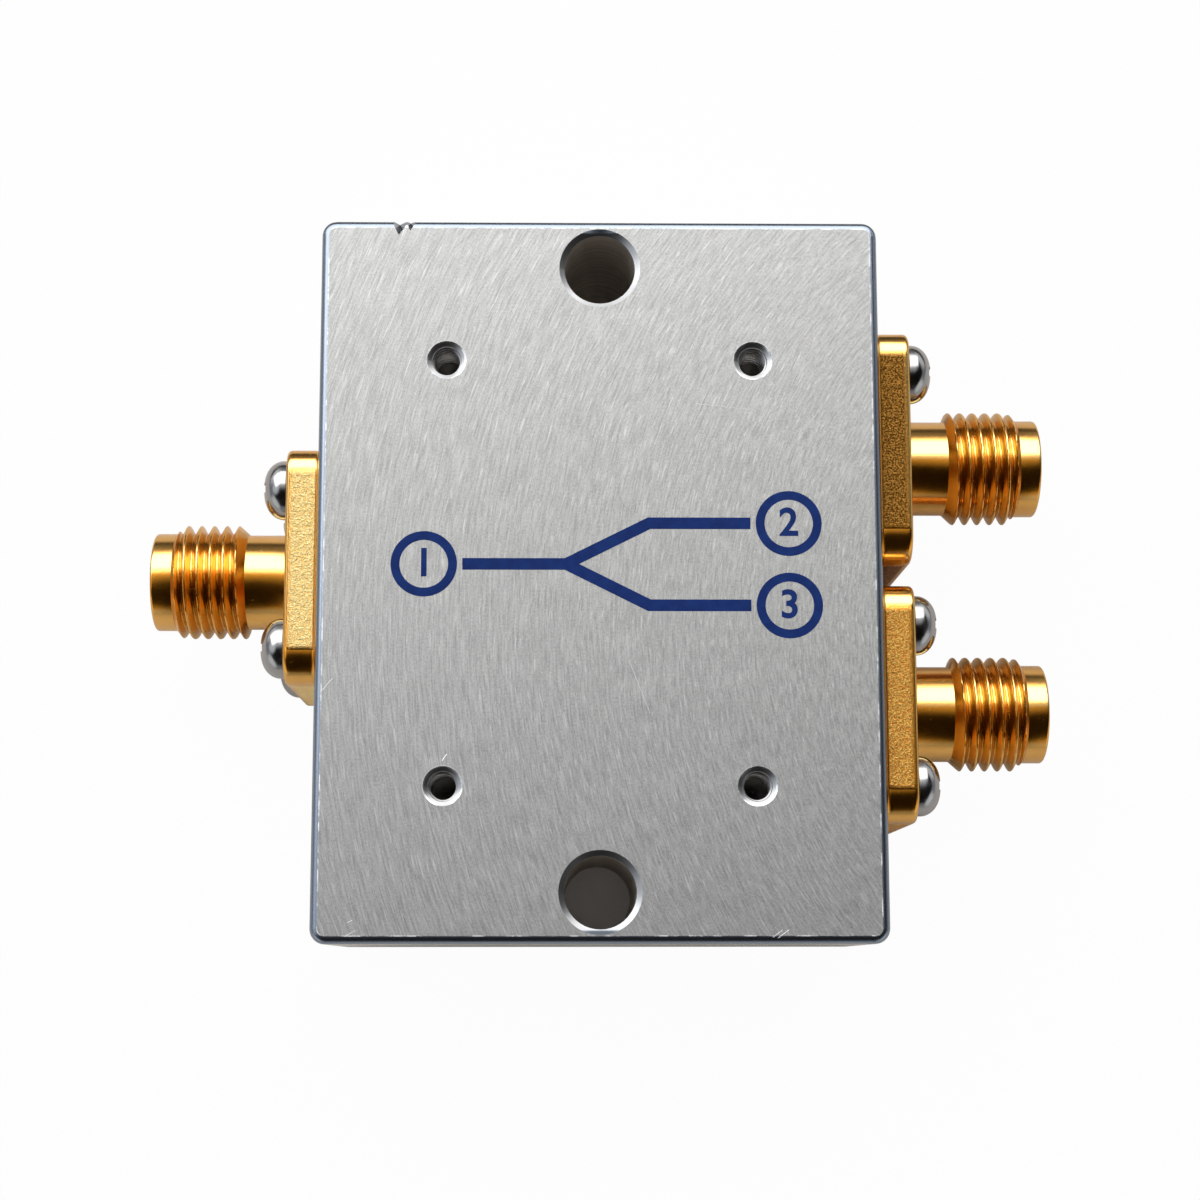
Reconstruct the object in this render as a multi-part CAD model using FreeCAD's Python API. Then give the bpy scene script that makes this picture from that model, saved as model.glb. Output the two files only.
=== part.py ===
import FreeCAD, Part
import math
import os

from FreeCAD import Placement, Rotation, Vector

# Dual-band combiner: a machined box with one common socket on its left side and two band
# sockets on its right side. The back lies on Z = 0 and the marked face looks up at +Z.
# X runs along the socket axes, Y runs up the broad face. Millimetres.

# Housing block
body_width = 30.0
body_height = 38.7
body_depth = 14.0
body_corner_radius = 0.8
edge_radius = 0.42
side_wall = 4.6
end_wall = 6.65
pocket_corner_radius = 1.5

# Knock in the top edge of the face, with a smaller chip beside it
knock_x = -10.78
knock_width = 0.72
knock_depth = 0.42
chip_x = -10.2
chip_mouth = 0.42
chip_depth = 0.24

# Mounting holes through the block
mount_inset = 2.65
mount_bore = 3.8
mount_rim = 4.36

# Small tapped holes in the face
face_tap_pitch_x = 16.4
face_tap_pitch_y = 22.8
face_tap_middle_y = 0.18
face_tap_bore = 1.6
face_tap_rim = 2.08
face_tap_depth = 3.5
drill_point_angle = 118.0

# Sockets: heights of their axes on the two sides
common_port_y = 0.65
band_port_middle_y = 0.25
band_port_pitch = 13.9

# Socket shell
flange_size = 12.7
flange_thickness = 1.75
flange_corner_radius = 1.3
flange_edge_radius = 0.25
flange_hole_pitch = 8.64
flange_hole = 2.5
neck_diameter = 5.25
neck_length = 2.45
thread_diameter = 6.3
thread_length = 4.15
thread_end_chamfer = 0.45
tip_diameter = 5.4
tip_length = 1.15
tip_chamfer = 0.22
mouth_diameter = 4.65
mouth_depth = 1.93
mouth_chamfer = 0.12

# Insulating sleeve and contact of a socket
insulator_diameter = 4.1
insulator_play = 0.05
contact_diameter = 1.27
contact_bore = 0.94
contact_bore_depth = 2.9
contact_slot_width = 0.2
contact_slot_length = 2.3
pin_diameter = 0.9
pin_reach = 1.8

# Pan head screws of the flanges and of the board
screw_bore = 1.6
screw_play = 0.02
pan_head_diameter = 3.2
pan_head_height = 1.3
pan_head_rim = 0.35
pan_head_crown = 0.87
pan_head_rise = 0.06
shank_lead = 0.24
cross_span = 1.9
cross_width = 0.5
cross_depth = 0.7
cross_taper = 0.45
flange_screw_length = 5.0
board_screw_length = 4.0
tap_runout = 0.5

# Back cover and its countersunk screws
cover_thickness = 1.5
cover_seat_width = 1.2
cover_play = 0.05
cover_screw_inset = 1.2
cover_screw_length = 5.0
cover_screw_head = 3.4
cover_screw_hole = 2.2
cover_head_drop = 0.04
pillar_radius = 1.4

# Board
board_thickness = 0.8
board_play = 0.2
board_corner_radius = 1.2
board_screw_hole = 2.2
board_screw_offset = 5.6
board_screw_inset = 2.4
track_thickness = 0.05
track_width = 1.2
track_edge_margin = 0.3
land_size = 3.8

# Filter parts: places along X as shares of the pocket's half width
junction_share = -0.327
ground_share = -0.154
low_coil_shares = (0.0, 0.423)
low_capacitor_shares = (0.2115, 0.673)
high_capacitor_shares = (-0.1346, 0.2308, 0.596)
high_coil_shares = (0.048, 0.4135)
coil_gap = 1.4
coil_turns = 3
coil_pitch = 0.6
coil_radius = 0.75
wire_diameter = 0.4
coil_foot = 0.5
chip_length = 1.6
chip_width = 0.8
chip_height = 0.8
chip_gap = 0.8
chip_cap_length = 0.35
chip_cap_proud = 0.03

# Planes that follow from the sizes above
axis_z = body_depth / 2
mount_pitch = body_height - 2 * mount_inset
track_face_z = axis_z + pin_diameter / 2
board_face_z = track_face_z + track_thickness
floor_z = board_face_z + board_thickness
pocket_half_x = body_width / 2 - side_wall
pocket_half_y = body_height / 2 - end_wall
cover_screw_x = pocket_half_x - cover_screw_inset
cover_screw_y = pocket_half_y - cover_screw_inset
board_screw_x = pocket_half_x - board_screw_inset
junction_x = pocket_half_x * junction_share
ground_left_x = pocket_half_x * ground_share
shell_length = flange_thickness + neck_length + thread_length + tip_length
screw_core = screw_bore - 2 * screw_play
low_port_y = band_port_middle_y + band_port_pitch / 2
high_port_y = band_port_middle_y - band_port_pitch / 2
low_coil_x = [pocket_half_x * share for share in low_coil_shares]
low_capacitor_x = [pocket_half_x * share for share in low_capacitor_shares]
high_capacitor_x = [pocket_half_x * share for share in high_capacitor_shares]
high_coil_x = [pocket_half_x * share for share in high_coil_shares]

# Each socket: name, side of the block, height of its axis, flange corners that hold no screw
PORTS = (
    ("common", -1, common_port_y, ()),
    ("low_band", 1, low_port_y, ((-1, -1), (-1, 1))),
    ("high_band", 1, high_port_y, ()),
)


def rounded_prism(half_x, half_y, radius, z_low, z_high):
    """Upright prism whose outline is a rectangle with round corners."""
    box = Part.makeBox(2 * half_x, 2 * half_y, z_high - z_low, Vector(-half_x, -half_y, z_low))
    upright = [e for e in box.Edges if abs(e.Vertexes[0].Z - e.Vertexes[1].Z) > 1e-6]
    return box.makeFillet(radius, upright)


def rod(diameter, start, along, length):
    """Solid cylinder from a start point along a direction."""
    return Part.makeCylinder(diameter / 2, length, start, along)


def taper(diameter_start, diameter_end, start, along, length):
    """Solid cone frustum from a start point along a direction."""
    return Part.makeCone(diameter_start / 2, diameter_end / 2, length, start, along)


def drilled(diameter, start, along, depth):
    """Blind drilled hole: a cylinder that ends in the drill's point."""
    point = diameter / 2 / math.tan(math.radians(drill_point_angle / 2))
    hole = rod(diameter, start, along, depth)
    return hole.fuse(taper(diameter, 0, start + along * depth, along, point))


def revolved(points, along):
    """Solid of revolution about the local axis from (distance, radius) points."""
    ring = [Vector(x, r, 0) for x, r in points]
    face = Part.Face(Part.makePolygon(ring + [ring[0]]))
    solid = face.revolve(Vector(0, 0, 0), Vector(1, 0, 0), 360)
    solid.Placement = Placement(Vector(0, 0, 0), Rotation(Vector(1, 0, 0), along))
    return solid


def grid(pitch_x, pitch_y):
    """Four corner places of a pattern, as (x, y) pairs about its middle."""
    return [(sx * pitch_x / 2, sy * pitch_y / 2) for sx in (-1, 1) for sy in (-1, 1)]


def port_frame(side, height):
    """Placement that takes +X of a socket's own frame out of the block's side face."""
    turn = Rotation(Vector(0, 0, 1), 0 if side > 0 else 180)
    return Placement(Vector(side * body_width / 2, height, axis_z), turn)


def placed(shape, placement):
    """Copy of a shape set down by a placement."""
    copy = shape.copy()
    copy.Placement = placement.multiply(copy.Placement)
    return copy


def pillars(radius, z_low, z_high):
    """Corner pillars that hold the cover screws, each run into its corner of the pocket."""
    reach_x = pocket_half_x - cover_screw_x + board_play
    reach_y = pocket_half_y - cover_screw_y + board_play
    height = z_high - z_low
    shapes = []
    for sx, sy in ((-1, -1), (-1, 1), (1, -1), (1, 1)):
        x = sx * cover_screw_x
        y = sy * cover_screw_y
        post = rod(2 * radius, Vector(x, y, z_low), Vector(0, 0, 1), height)
        to_side = Part.makeBox(reach_x, radius + reach_y, height, Vector(0, -radius, z_low))
        to_end = Part.makeBox(radius + reach_x, reach_y, height, Vector(-radius, 0, z_low))
        corner = to_side.fuse(to_end)
        if sx < 0:
            corner = corner.mirror(Vector(0, 0, 0), Vector(1, 0, 0))
        if sy < 0:
            corner = corner.mirror(Vector(0, 0, 0), Vector(0, 1, 0))
        corner.translate(Vector(x, y, 0))
        shapes.append(post.fuse(corner))
    return shapes


def pocket_space(inset, corner_radius, z_low, z_high):
    """The pocket's plan, drawn in by an inset, between two heights."""
    space = rounded_prism(pocket_half_x - inset, pocket_half_y - inset, corner_radius, z_low, z_high)
    for pillar in pillars(pillar_radius + inset, z_low, z_high):
        space = space.cut(pillar)
    return space


def board_screw_places():
    """The three screws of the board: two beside the common port, one between the band ports."""
    return [
        (-board_screw_x, common_port_y + board_screw_offset),
        (-board_screw_x, common_port_y - board_screw_offset),
        (board_screw_x, band_port_middle_y),
    ]


def flange_screw_places(missing):
    """Corners of a flange that hold a screw, as (y, z) about the socket's axis."""
    half = flange_hole_pitch / 2
    return [(sy * half, sz * half) for sy in (-1, 1) for sz in (-1, 1) if (sy, sz) not in missing]


def edge_notch(x, width, depth):
    """Three-sided wedge laid across the round of the top edge, with its point in the metal."""
    mouth = [Vector(-width / 2, 0, 0), Vector(width / 2, 0, 0), Vector(-width / 10, -depth, 0)]
    wedge = Part.Face(Part.makePolygon(mouth + [mouth[0]])).extrude(Vector(0, 0, 4 * depth))
    wedge.translate(Vector(0, 0, -2 * depth))
    wedge.rotate(Vector(0, 0, 0), Vector(1, 0, 0), 45)
    inset = edge_radius * (1 - math.cos(math.radians(45)))
    wedge.translate(Vector(x, body_height / 2 - inset, body_depth - inset))
    return wedge


def make_housing():
    """Block with its pocket, cover seat, wall bores, tapped holes and mounting holes."""
    up = Vector(0, 0, 1)
    block = rounded_prism(body_width / 2, body_height / 2, body_corner_radius, 0, body_depth)
    rims = []
    for edge in block.Edges:
        heights = [v.Z for v in edge.Vertexes]
        if max(heights) < 1e-6 or min(heights) > body_depth - 1e-6:
            rims.append(edge)
    block = block.makeFillet(edge_radius, rims)

    seat_x = pocket_half_x + cover_seat_width
    seat_y = pocket_half_y + cover_seat_width
    seat_radius = pocket_corner_radius + cover_seat_width
    block = block.cut(rounded_prism(seat_x, seat_y, seat_radius, 0, cover_thickness))
    block = block.cut(pocket_space(0, pocket_corner_radius, cover_thickness, floor_z))

    rim_depth = (mount_rim - mount_bore) / 2
    for sy in (-1, 1):
        centre = Vector(0, sy * mount_pitch / 2, 0)
        block = block.cut(rod(mount_bore, centre, up, body_depth))
        block = block.cut(taper(mount_rim, mount_bore, centre, up, rim_depth))
        block = block.cut(taper(mount_rim, mount_bore, centre + up * body_depth, -up, rim_depth))

    rim_depth = (face_tap_rim - face_tap_bore) / 2
    for x, y in grid(face_tap_pitch_x, face_tap_pitch_y):
        mouth = Vector(x, y + face_tap_middle_y, body_depth)
        block = block.cut(drilled(face_tap_bore, mouth, -up, face_tap_depth))
        block = block.cut(taper(face_tap_rim, face_tap_bore, mouth, -up, rim_depth))

    for x, y in grid(2 * cover_screw_x, 2 * cover_screw_y):
        depth = cover_screw_length - cover_thickness + tap_runout
        block = block.cut(drilled(screw_bore, Vector(x, y, cover_thickness), up, depth))
    for x, y in board_screw_places():
        grip = board_screw_length - board_thickness - track_thickness
        block = block.cut(drilled(screw_bore, Vector(x, y, floor_z), up, grip + tap_runout))

    inward = Vector(-1, 0, 0)
    grip = flange_screw_length - flange_thickness + tap_runout
    for _, side, height, _ in PORTS:
        cuts = rod(insulator_diameter + 2 * insulator_play, Vector(0, 0, 0), inward, side_wall)
        for y, z in flange_screw_places(()):
            cuts = cuts.fuse(drilled(screw_bore, Vector(0, y, z), inward, grip))
        block = block.cut(placed(cuts, port_frame(side, height)))

    for x, width, depth in ((knock_x, knock_width, knock_depth), (chip_x, chip_mouth, chip_depth)):
        block = block.cut(edge_notch(x, width, depth))
    return block


def make_cover():
    """Flush plate with four countersunk holes."""
    up = Vector(0, 0, 1)
    half_x = pocket_half_x + cover_seat_width - cover_play
    half_y = pocket_half_y + cover_seat_width - cover_play
    radius = pocket_corner_radius + cover_seat_width - cover_play
    plate = rounded_prism(half_x, half_y, radius, 0, cover_thickness)
    sink = cover_screw_head + 2 * cover_head_drop
    depth = (sink - cover_screw_hole) / 2
    for x, y in grid(2 * cover_screw_x, 2 * cover_screw_y):
        plate = plate.cut(rod(cover_screw_hole, Vector(x, y, 0), up, cover_thickness))
        plate = plate.cut(taper(sink, cover_screw_hole, Vector(x, y, 0), up, depth))
    return plate


def cross_recess(face_x):
    """Cross shaped driver recess, cut from a head whose face lies at face_x and looks along +X."""
    arms = []
    for span, width in ((cross_span, cross_width), (cross_width, cross_span)):
        mouth = Part.makePolygon([
            Vector(face_x, -span / 2, -width / 2),
            Vector(face_x, span / 2, -width / 2),
            Vector(face_x, span / 2, width / 2),
            Vector(face_x, -span / 2, width / 2),
            Vector(face_x, -span / 2, -width / 2),
        ])
        deep = face_x - cross_depth
        bottom = Part.makePolygon([
            Vector(deep, -span * cross_taper / 2, -width * cross_taper / 2),
            Vector(deep, span * cross_taper / 2, -width * cross_taper / 2),
            Vector(deep, span * cross_taper / 2, width * cross_taper / 2),
            Vector(deep, -span * cross_taper / 2, width * cross_taper / 2),
            Vector(deep, -span * cross_taper / 2, -width * cross_taper / 2),
        ])
        arms.append(Part.makeLoft([mouth, bottom], True, True))
    return arms[0].fuse(arms[1])


def make_shank(length):
    """Plain shank along -X from X = 0, with a short lead at its end."""
    inward = Vector(-1, 0, 0)
    stem = rod(screw_core, Vector(0, 0, 0), inward, length - shank_lead)
    end = Vector(shank_lead - length, 0, 0)
    return stem.fuse(taper(screw_core, screw_core - 2 * shank_lead, end, inward, shank_lead))


def make_pan_screw(length):
    """Pan head screw along X: the head stands on X = 0, the shank runs to -length."""
    radius = pan_head_diameter / 2
    crown_side = Vector(pan_head_rim, radius, 0)
    crown_edge = Vector(pan_head_height, pan_head_crown, 0)
    turn = math.radians(45)
    bulge_x = pan_head_rim + (pan_head_height - pan_head_rim) * math.sin(turn)
    bulge_r = pan_head_crown + (radius - pan_head_crown) * math.cos(turn)
    arc = Part.Arc(crown_side, Vector(bulge_x, bulge_r, 0), crown_edge).toShape()
    centre = Vector(pan_head_height + pan_head_rise, 0, 0)
    outline = Part.Wire([
        Part.makeLine(Vector(0, 0, 0), Vector(0, radius, 0)),
        Part.makeLine(Vector(0, radius, 0), crown_side),
        arc,
        Part.makeLine(crown_edge, centre),
        Part.makeLine(centre, Vector(0, 0, 0)),
    ])
    head = Part.Face(outline).revolve(Vector(0, 0, 0), Vector(1, 0, 0), 360)
    head = head.cut(cross_recess(centre.x))
    return head.fuse(make_shank(length))


def make_cover_screw():
    """Countersunk screw along X: its face lies at X = 0 and its shank runs to -length."""
    head_depth = (cover_screw_head - screw_core) / 2
    head = taper(cover_screw_head, screw_core, Vector(0, 0, 0), Vector(-1, 0, 0), head_depth)
    return head.fuse(make_shank(cover_screw_length)).cut(cross_recess(0))


def make_shell():
    """Socket shell in its own frame: flange on X = 0, then neck, thread and tip."""
    flange = rounded_prism(flange_size / 2, flange_size / 2, flange_corner_radius, 0, flange_thickness)
    face_edges = [e for e in flange.Edges if abs(e.Vertexes[0].Z - e.Vertexes[-1].Z) < 1e-6]
    flange = flange.makeFillet(flange_edge_radius, face_edges)
    flange.rotate(Vector(0, 0, 0), Vector(0, 1, 0), 90)

    thread_start = flange_thickness + neck_length
    thread_end = thread_start + thread_length
    barrel = revolved([
        (0, 0),
        (0, neck_diameter / 2),
        (thread_start, neck_diameter / 2),
        (thread_start + thread_end_chamfer, thread_diameter / 2),
        (thread_end - thread_end_chamfer, thread_diameter / 2),
        (thread_end, tip_diameter / 2),
        (shell_length - tip_chamfer, tip_diameter / 2),
        (shell_length, tip_diameter / 2 - tip_chamfer),
        (shell_length, 0),
    ], Vector(1, 0, 0))
    shell = flange.fuse(barrel)

    out = Vector(1, 0, 0)
    shell = shell.cut(rod(insulator_diameter, Vector(0, 0, 0), out, shell_length))
    shell = shell.cut(rod(mouth_diameter, Vector(shell_length - mouth_depth, 0, 0), out, mouth_depth))
    lip_diameter = mouth_diameter + 2 * mouth_chamfer
    shell = shell.cut(taper(lip_diameter, mouth_diameter, Vector(shell_length, 0, 0), -out, mouth_chamfer))
    for y, z in flange_screw_places(()):
        shell = shell.cut(rod(flange_hole, Vector(0, y, z), out, flange_thickness))
    return shell


def make_insulator():
    """White sleeve from the inner face of the wall to the floor of the mouth."""
    start = Vector(-side_wall, 0, 0)
    length = side_wall + shell_length - mouth_depth
    out = Vector(1, 0, 0)
    sleeve = rod(insulator_diameter, start, out, length)
    return sleeve.cut(rod(contact_diameter, start, out, length))


def make_contact():
    """Slotted socket contact with a thinner pin that reaches over the board."""
    out = Vector(1, 0, 0)
    face_x = shell_length - mouth_depth
    contact = rod(contact_diameter, Vector(-side_wall, 0, 0), out, side_wall + face_x)
    contact = contact.fuse(rod(pin_diameter, Vector(-side_wall, 0, 0), -out, pin_reach))
    contact = contact.cut(rod(contact_bore, Vector(face_x, 0, 0), -out, contact_bore_depth))
    reach = contact_diameter
    for wide_y, wide_z in ((reach, contact_slot_width), (contact_slot_width, reach)):
        corner = Vector(face_x - contact_slot_length, -wide_y / 2, -wide_z / 2)
        contact = contact.cut(Part.makeBox(contact_slot_length, wide_y, wide_z, corner))
    return contact


def make_board():
    """Board with a notch for each pillar and a hole for each screw."""
    board = pocket_space(board_play, board_corner_radius, board_face_z, floor_z)
    up = Vector(0, 0, 1)
    for x, y in board_screw_places():
        board = board.cut(rod(board_screw_hole, Vector(x, y, board_face_z), up, board_thickness))
    return board


def track(x_low, y_low, x_high, y_high):
    """Rectangle of copper on the board."""
    corner = Vector(x_low, y_low, track_face_z)
    return Part.makeBox(x_high - x_low, y_high - y_low, track_thickness, corner)


def row_tracks(height, gaps, gap_length):
    """Copper of one branch, from the junction to its port, broken by a gap under each part."""
    half = track_width / 2
    edge = pocket_half_x - board_play - track_edge_margin
    starts = [junction_x - half] + [x + gap_length / 2 for x in gaps]
    ends = [x - gap_length / 2 for x in gaps] + [edge]
    return [track(a, height - half, b, height + half) for a, b in zip(starts, ends)]


def make_tracks():
    """Copper: common strip, riser, both branches, the ground area and the screw lands."""
    half = track_width / 2
    edge = pocket_half_x - board_play - track_edge_margin
    low_row = row_tracks(low_port_y, low_coil_x, coil_gap)
    high_row = row_tracks(high_port_y, high_capacitor_x, chip_gap)
    riser = track(junction_x - half, high_port_y - half, junction_x + half, low_port_y + half)
    common = track(-edge, common_port_y - half, junction_x + half, common_port_y + half)
    trunk = riser.fuse([common, low_row[0], high_row[0]]).removeSplitter()
    ground_low = high_port_y + half + coil_gap
    ground_high = low_port_y - half - chip_gap
    ground = track(ground_left_x, ground_low, edge, ground_high)
    islands = [trunk, ground] + low_row[1:] + high_row[1:]
    for x, y in board_screw_places():
        hole = rod(board_screw_hole, Vector(x, y, track_face_z), Vector(0, 0, 1), track_thickness)
        if x < 0:
            side = land_size / 2
            islands.append(track(x - side, y - side, x + side, y + side).cut(hole))
        else:
            islands[1] = islands[1].cut(hole)
    return islands


def make_coil():
    """Open coil along X: a helix of round wire with a straight foot at each end."""
    length = coil_turns * coil_pitch
    helix = Part.makeHelix(coil_pitch, length, coil_radius)
    lead = math.atan(coil_pitch / (2 * math.pi * coil_radius))
    tangent = Vector(0, math.cos(lead), math.sin(lead))
    start = Vector(coil_radius, 0, 0)
    ring = Part.Wire([Part.makeCircle(wire_diameter / 2, start, tangent)])
    wire = Part.Wire(helix).makePipeShell([ring], True, True)
    end = start + Vector(0, 0, length)
    wire = wire.fuse(rod(wire_diameter, start, -tangent, coil_foot))
    wire = wire.fuse(rod(wire_diameter, end, tangent, coil_foot))
    wire.translate(Vector(0, 0, -length / 2))
    wire.rotate(Vector(0, 0, 0), Vector(0, 1, 0), -90)
    return wire


def make_chip():
    """Chip capacitor along X, standing on Z = 0 and hanging to -Z, with its two metal caps."""
    corner = Vector(-chip_length / 2, -chip_width / 2, -chip_height - chip_cap_proud)
    shape = Part.makeBox(chip_length, chip_width, chip_height, corner)
    wide = chip_width + 2 * chip_cap_proud
    tall = chip_height + 2 * chip_cap_proud
    for x in (-chip_length / 2 - chip_cap_proud, chip_length / 2 + chip_cap_proud - chip_cap_length):
        shape = shape.fuse(Part.makeBox(chip_cap_length, wide, tall, Vector(x, -wide / 2, -tall)))
    return shape.removeSplitter()


def set_on_track(shape, x, y, turned):
    """A filter part set on the copper at (x, y), turned a quarter where its branch crosses Y."""
    turn = Rotation(Vector(0, 0, 1), 90 if turned else 0)
    return placed(shape, Placement(Vector(x, y, track_face_z), turn))


def filter_parts():
    """Every coil and capacitor of both branches, by node name."""
    half = track_width / 2
    coil = make_coil()
    coil.translate(Vector(0, 0, -coil_radius - wire_diameter / 2))
    chip = make_chip()
    parts = {}
    for number, x in enumerate(low_coil_x, 1):
        parts[f"low_band_coil_{number}"] = set_on_track(coil, x, low_port_y, False)
    shunt_y = low_port_y - half - chip_gap / 2
    for number, x in enumerate(low_capacitor_x, 1):
        parts[f"low_band_capacitor_{number}"] = set_on_track(chip, x, shunt_y, True)
    for number, x in enumerate(high_capacitor_x, 1):
        parts[f"high_band_capacitor_{number}"] = set_on_track(chip, x, high_port_y, False)
    shunt_y = high_port_y + half + coil_gap / 2
    for number, x in enumerate(high_coil_x, 1):
        parts[f"high_band_coil_{number}"] = set_on_track(coil, x, shunt_y, True)
    return parts


def port_parts():
    """Shell, sleeve, contact and flange screws of every socket, by node name."""
    shell = make_shell()
    insulator = make_insulator()
    contact = make_contact()
    screw = make_pan_screw(flange_screw_length)
    parts = {}
    for name, side, height, missing in PORTS:
        frame = port_frame(side, height)
        parts[f"{name}_shell"] = placed(shell, frame)
        parts[f"{name}_insulator"] = placed(insulator, frame)
        parts[f"{name}_contact"] = placed(contact, frame)
        screws = []
        for y, z in flange_screw_places(missing):
            seated = screw.copy()
            seated.translate(Vector(flange_thickness, y, z))
            screws.append(placed(seated, frame))
        parts[f"{name}_screws"] = Part.makeCompound(screws)
    return parts


def standing(screw, x, y, z):
    """A screw whose head looks down at -Z, set at a point."""
    return placed(screw, Placement(Vector(x, y, z), Rotation(Vector(0, 1, 0), 90)))


def make_model():
    """Every node of the combiner."""
    cover_screw = make_cover_screw()
    board_screw = make_pan_screw(board_screw_length)
    nodes = {
        "housing": make_housing(),
        "back_cover": make_cover(),
        "cover_screws": Part.makeCompound([
            standing(cover_screw, x, y, cover_head_drop)
            for x, y in grid(2 * cover_screw_x, 2 * cover_screw_y)
        ]),
        "circuit_board": make_board(),
        "board_tracks": Part.makeCompound(make_tracks()),
        "board_screws": Part.makeCompound([
            standing(board_screw, x, y, track_face_z) for x, y in board_screw_places()
        ]),
    }
    nodes.update(port_parts())
    nodes.update(filter_parts())
    return nodes


for node, shape in make_model().items():
    count = len(shape.Solids)
    if count == 1 and shape.ShapeType != "Solid":
        shape = shape.Solids[0]
    print(f"{node}: {count} solids, {shape.Volume:.3f} mm3, valid {shape.isValid()}")
    shape.exportStep(f"parts/{node}.step")
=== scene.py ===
import logging
import math
from dataclasses import dataclass
from enum import Enum

import bmesh
import bpy
import numpy as np
from mathutils import Matrix, Vector


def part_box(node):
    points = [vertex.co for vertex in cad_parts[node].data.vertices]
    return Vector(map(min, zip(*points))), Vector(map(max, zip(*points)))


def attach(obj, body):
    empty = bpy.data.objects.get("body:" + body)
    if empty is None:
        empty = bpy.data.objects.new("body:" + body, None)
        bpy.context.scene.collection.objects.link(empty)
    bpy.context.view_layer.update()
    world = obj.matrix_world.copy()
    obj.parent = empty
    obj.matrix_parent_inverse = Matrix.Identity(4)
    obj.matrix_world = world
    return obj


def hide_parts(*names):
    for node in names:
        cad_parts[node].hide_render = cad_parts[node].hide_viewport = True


logging.basicConfig(level=logging.INFO, format="%(message)s")
log = logging.getLogger("combiner")

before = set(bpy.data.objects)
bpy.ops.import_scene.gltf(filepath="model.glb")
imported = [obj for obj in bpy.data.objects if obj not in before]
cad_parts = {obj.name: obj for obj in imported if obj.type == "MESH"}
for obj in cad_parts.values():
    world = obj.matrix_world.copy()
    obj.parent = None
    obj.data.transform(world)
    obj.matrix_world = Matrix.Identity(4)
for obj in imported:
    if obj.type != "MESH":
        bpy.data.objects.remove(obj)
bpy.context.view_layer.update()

Pair = tuple[float, float]
Triple = tuple[float, float, float]

MM = 0.001
ROOT = "root"
FULL_TURN = 2 * np.pi
WHITE = (1.0, 1.0, 1.0)
NEXT_QUARTER = np.array([[0.0, 1.0], [-1.0, 0.0]])
FLANGE_CORNERS = ((-1, -1), (-1, 1), (1, -1), (1, 1))
OPEN_CORNERS = ((-1, -1), (-1, 1))
HOLE_PITCH = 8.64
TAP_PITCH = (16.4, 22.8)
TAP_MIDDLE_Y = 0.18


class Side(Enum):
    """Side of the block that a socket stands on, as the sign of its axis along X."""

    LEFT = -1
    RIGHT = 1


class Port(Enum):
    """The three sockets, by the name that starts their nodes."""

    COMMON = "common"
    LOW_BAND = "low_band"
    HIGH_BAND = "high_band"

    @property
    def side(self) -> Side:
        """The side of the block that this socket stands on."""
        return Side.LEFT if self is Port.COMMON else Side.RIGHT


def box_mm(node: str) -> tuple[np.ndarray, np.ndarray]:
    """Lowest and highest corner of a node of the frame, in millimetres."""
    low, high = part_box(node)
    return np.array(low) / MM, np.array(high) / MM


BLOCK_LOW, BLOCK_HIGH = box_mm("housing")
FACE_Z = float(BLOCK_HIGH[2])


def smooth_step(value: np.ndarray) -> np.ndarray:
    """Soft ramp 3v^2 - 2v^3 of a value held between 0 and 1."""
    held = np.clip(value, 0.0, 1.0)
    return held * held * (3.0 - 2.0 * held)


def circle(count: int) -> np.ndarray:
    """Angles of points spread evenly round a circle, in radians."""
    return np.linspace(0.0, FULL_TURN, count, endpoint=False)


def arc_points(centre: Pair, radius: float, start: float, end: float, steps: int) -> np.ndarray:
    """Points on an arc in a plane, from one angle in degrees to another, both ends included."""
    angles = np.radians(np.linspace(start, end, steps + 1))
    return np.stack([centre[0] + radius * np.cos(angles), centre[1] + radius * np.sin(angles)], axis=-1)


def turned_grid(x: np.ndarray, radius: np.ndarray, angles: np.ndarray) -> np.ndarray:
    """Surface of revolution about X.

    Formula: the point at (row i, column j) is (x_i, r_ij cos a_j, r_ij sin a_j).

    Args:
        x: Place of each row along the axis.
        radius: Radius of each row, or of each row and column.
        angles: Angle of each column, in radians.

    Returns:
        Points of shape (rows, columns, 3).
    """
    radii = np.broadcast_to(radius if radius.ndim == 2 else radius[:, None], (len(x), len(angles)))
    xs = np.broadcast_to(x[:, None], radii.shape)
    return np.stack([xs, radii * np.cos(angles), radii * np.sin(angles)], axis=-1)


def helical_ridge(x: np.ndarray, angles: np.ndarray, pitch: float, crest: float, root: float) -> np.ndarray:
    """Height of a screw thread's ridge between 0 at its root and 1 at its crest.

    Formula: the phase is x / pitch minus the angle's share of a turn. The distance from the
    middle of the crest, as a share of half a pitch, falls from 1 to 0 between the crest's flat
    and the root's flat, and is then softened.

    Args:
        x: Place of each row along the axis.
        angles: Angle of each column, in radians.
        pitch: Distance from one crest to the next.
        crest: Share of the pitch that is flat crest.
        root: Share of the pitch that is flat root.

    Returns:
        Heights of shape (rows, columns).
    """
    phase = (x[:, None] / pitch - angles[None, :] / FULL_TURN) % 1.0
    away = np.abs(2.0 * phase - 1.0)
    held = np.clip((1.0 - root - away) / (1.0 - root - crest), 0.0, 1.0)
    softened = 0.55
    return (1.0 - softened) * held + softened * smooth_step(held)


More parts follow.
